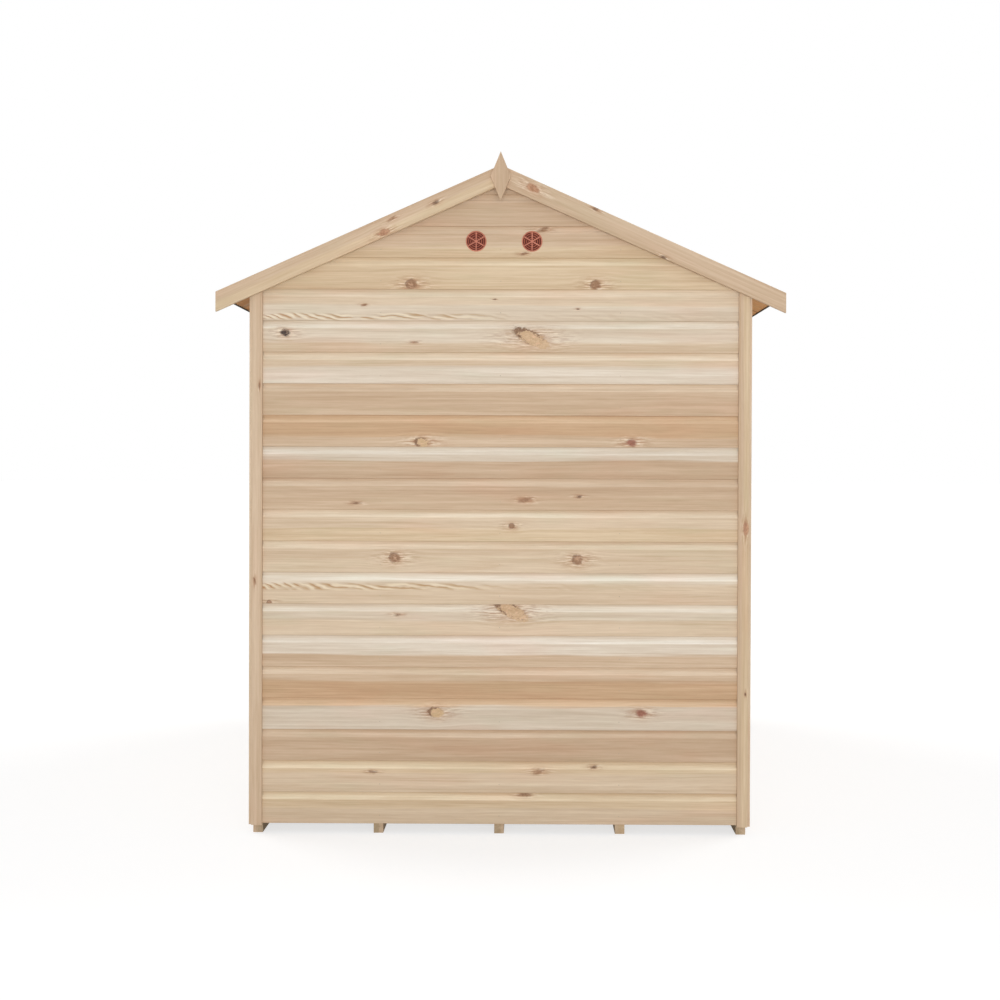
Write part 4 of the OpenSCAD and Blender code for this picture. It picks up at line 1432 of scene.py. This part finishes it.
nailSizes = {"Radius": 0.0014, "Height": 0.0006, "Row gap": courseHeight}
nailHeight, nailMargin, endMargin = 0.030, 0.02, 0.06
studGap = (2 * sideLow.x - studWidth) / 4
sideNails = {"Columns": 5, "Column gap": (sideReach - endMargin) / 2, "Rows": sideCourses - 1}
nails = []
for wall, foot, sizes in (
        ("rear", wallFoot, {"Columns": 3, "Column gap": studGap, "Rows": courses - 1}),
        ("left", wallFoot, sideNails), ("right", wallFoot, sideNails),
        ("front", headHeight, {"Columns": 5, "Column gap": 0.36, "Rows": courses - headCourse})):
    ridge = ridgeHeight - foot - nailHeight - nailMargin if wall in ("rear", "front") else noLimit
    mesh = grow(heads, {**nailSizes, **sizes, "Ridge height": ridge})
    nails.append((mesh, wallFaces[wall] @ Matrix.Translation((0, foot + nailHeight, 0.0))))
mergedPiece("cladding_nails", nails, zinc, [])


# 1 for rays that show a thing to the camera, straight or by way of gloss and glass, and 0 for the others
def seenMask(start):
    path = start.add("ShaderNodeLightPath", None, None, "Is Camera Ray")
    seen = start.sum("MAXIMUM", path + path.twin("Is Glossy Ray"), path.twin("Is Transmission Ray"))
    return start.sum("MINIMUM", seen, 1.0)


def grey(level):
    return (level, level, level, 1.0)


stageSizes = {"reach": 60.0, "glow": 0.68, "air": 0.50, "airColour": (0.975, 0.985, 1.0, 1.0)}


def makeStage():
    mesh = bpy.data.meshes.new("studio_floor")
    reach = stageSizes["reach"]
    mesh.from_pydata([(-reach, -reach, 0), (reach, -reach, 0), (reach, reach, 0), (-reach, reach, 0)], [],
                     [(0, 1, 2, 3)])
    floor = bpy.data.objects.new("studio_floor", mesh)
    bpy.context.scene.collection.objects.link(floor)
    material, start = newMaterial("studio_floor")
    mottle = evenNoise(objectPlace(start), 2.0)
    plain = start.add("ShaderNodeBsdfDiffuse", None, {"Color": mixColour(mottle, grey(0.72), grey(0.76))})
    dim = start.add("ShaderNodeBsdfDiffuse", None, {"Color": grey(0.42)})
    glow = start.add("ShaderNodeEmission", None, {"Color": grey(1.0), "Strength": stageSizes["glow"]})
    bright = start.add("ShaderNodeAddShader", None, {0: dim, 1: glow})
    finishMaterial(start, start.add("ShaderNodeMixShader", None, {0: seenMask(start), 1: plain, 2: bright}))
    mesh.materials.append(material)


def makeWorld():
    world = bpy.data.worlds.new("studio")
    bpy.context.scene.world = world
    world.use_nodes = True
    world.node_tree.nodes.clear()
    start = Wire(world.node_tree)
    air = start.add("ShaderNodeBackground", None,
                    {"Color": stageSizes["airColour"], "Strength": stageSizes["air"]})
    white = start.add("ShaderNodeBackground", None, {"Color": grey(1.0), "Strength": 1.0})
    mixed = start.add("ShaderNodeMixShader", None, {0: seenMask(start), 1: air, 2: white})
    start.add("ShaderNodeOutputWorld", None, {"Surface": mixed})


warmWhite = (1.0, 0.99, 0.975)


def addLight(name, kind, place, towards, settings):
    light = bpy.data.lights.new(name, kind)
    light.color = warmWhite
    for setting, value in settings.items():
        setattr(light, setting, value)
    thing = bpy.data.objects.new(name, light)
    thing.location = place
    thing.rotation_mode = "QUATERNION"
    thing.rotation_quaternion = Vector(towards).to_track_quat("-Z", "Y")
    bpy.context.scene.collection.objects.link(thing)


cameraSizes = {"lens": 50.0, "sensor_width": 36.0, "shift_x": -0.0210, "shift_y": -0.0351}
cameraPlace, cameraTurn = (0.11, -6.286, 1.392), (89.524, -0.191, 0.383)


def makeCamera():
    data = bpy.data.cameras.new("camera")
    for setting, value in cameraSizes.items():
        setattr(data, setting, value)
    camera = bpy.data.objects.new("camera", data)
    camera.location = cameraPlace
    camera.rotation_euler = [math.radians(angle) for angle in cameraTurn]
    bpy.context.scene.collection.objects.link(camera)
    bpy.context.scene.camera = camera


makeStage()
makeWorld()

# a broad soft box low in front of the rear gable, and two soft suns for the side walls and the front
keyPlace, keyTarget = Vector((0.2, -8.4, 1.15)), Vector((0.0, 0.0, 1.25))
addLight("key", "AREA", keyPlace, keyTarget - keyPlace,
         {"shape": "RECTANGLE", "size": 5.0, "size_y": 2.1, "energy": 235.0})
for name, across in (("left_fill", 0.75), ("right_fill", -0.75)):
    addLight(name, "SUN", (0, 0, 0), (across, -0.50, -0.45), {"energy": 1.25, "angle": math.radians(38.0)})
makeCamera()
bpy.context.scene.view_settings.view_transform = "Standard"
print("stage set")
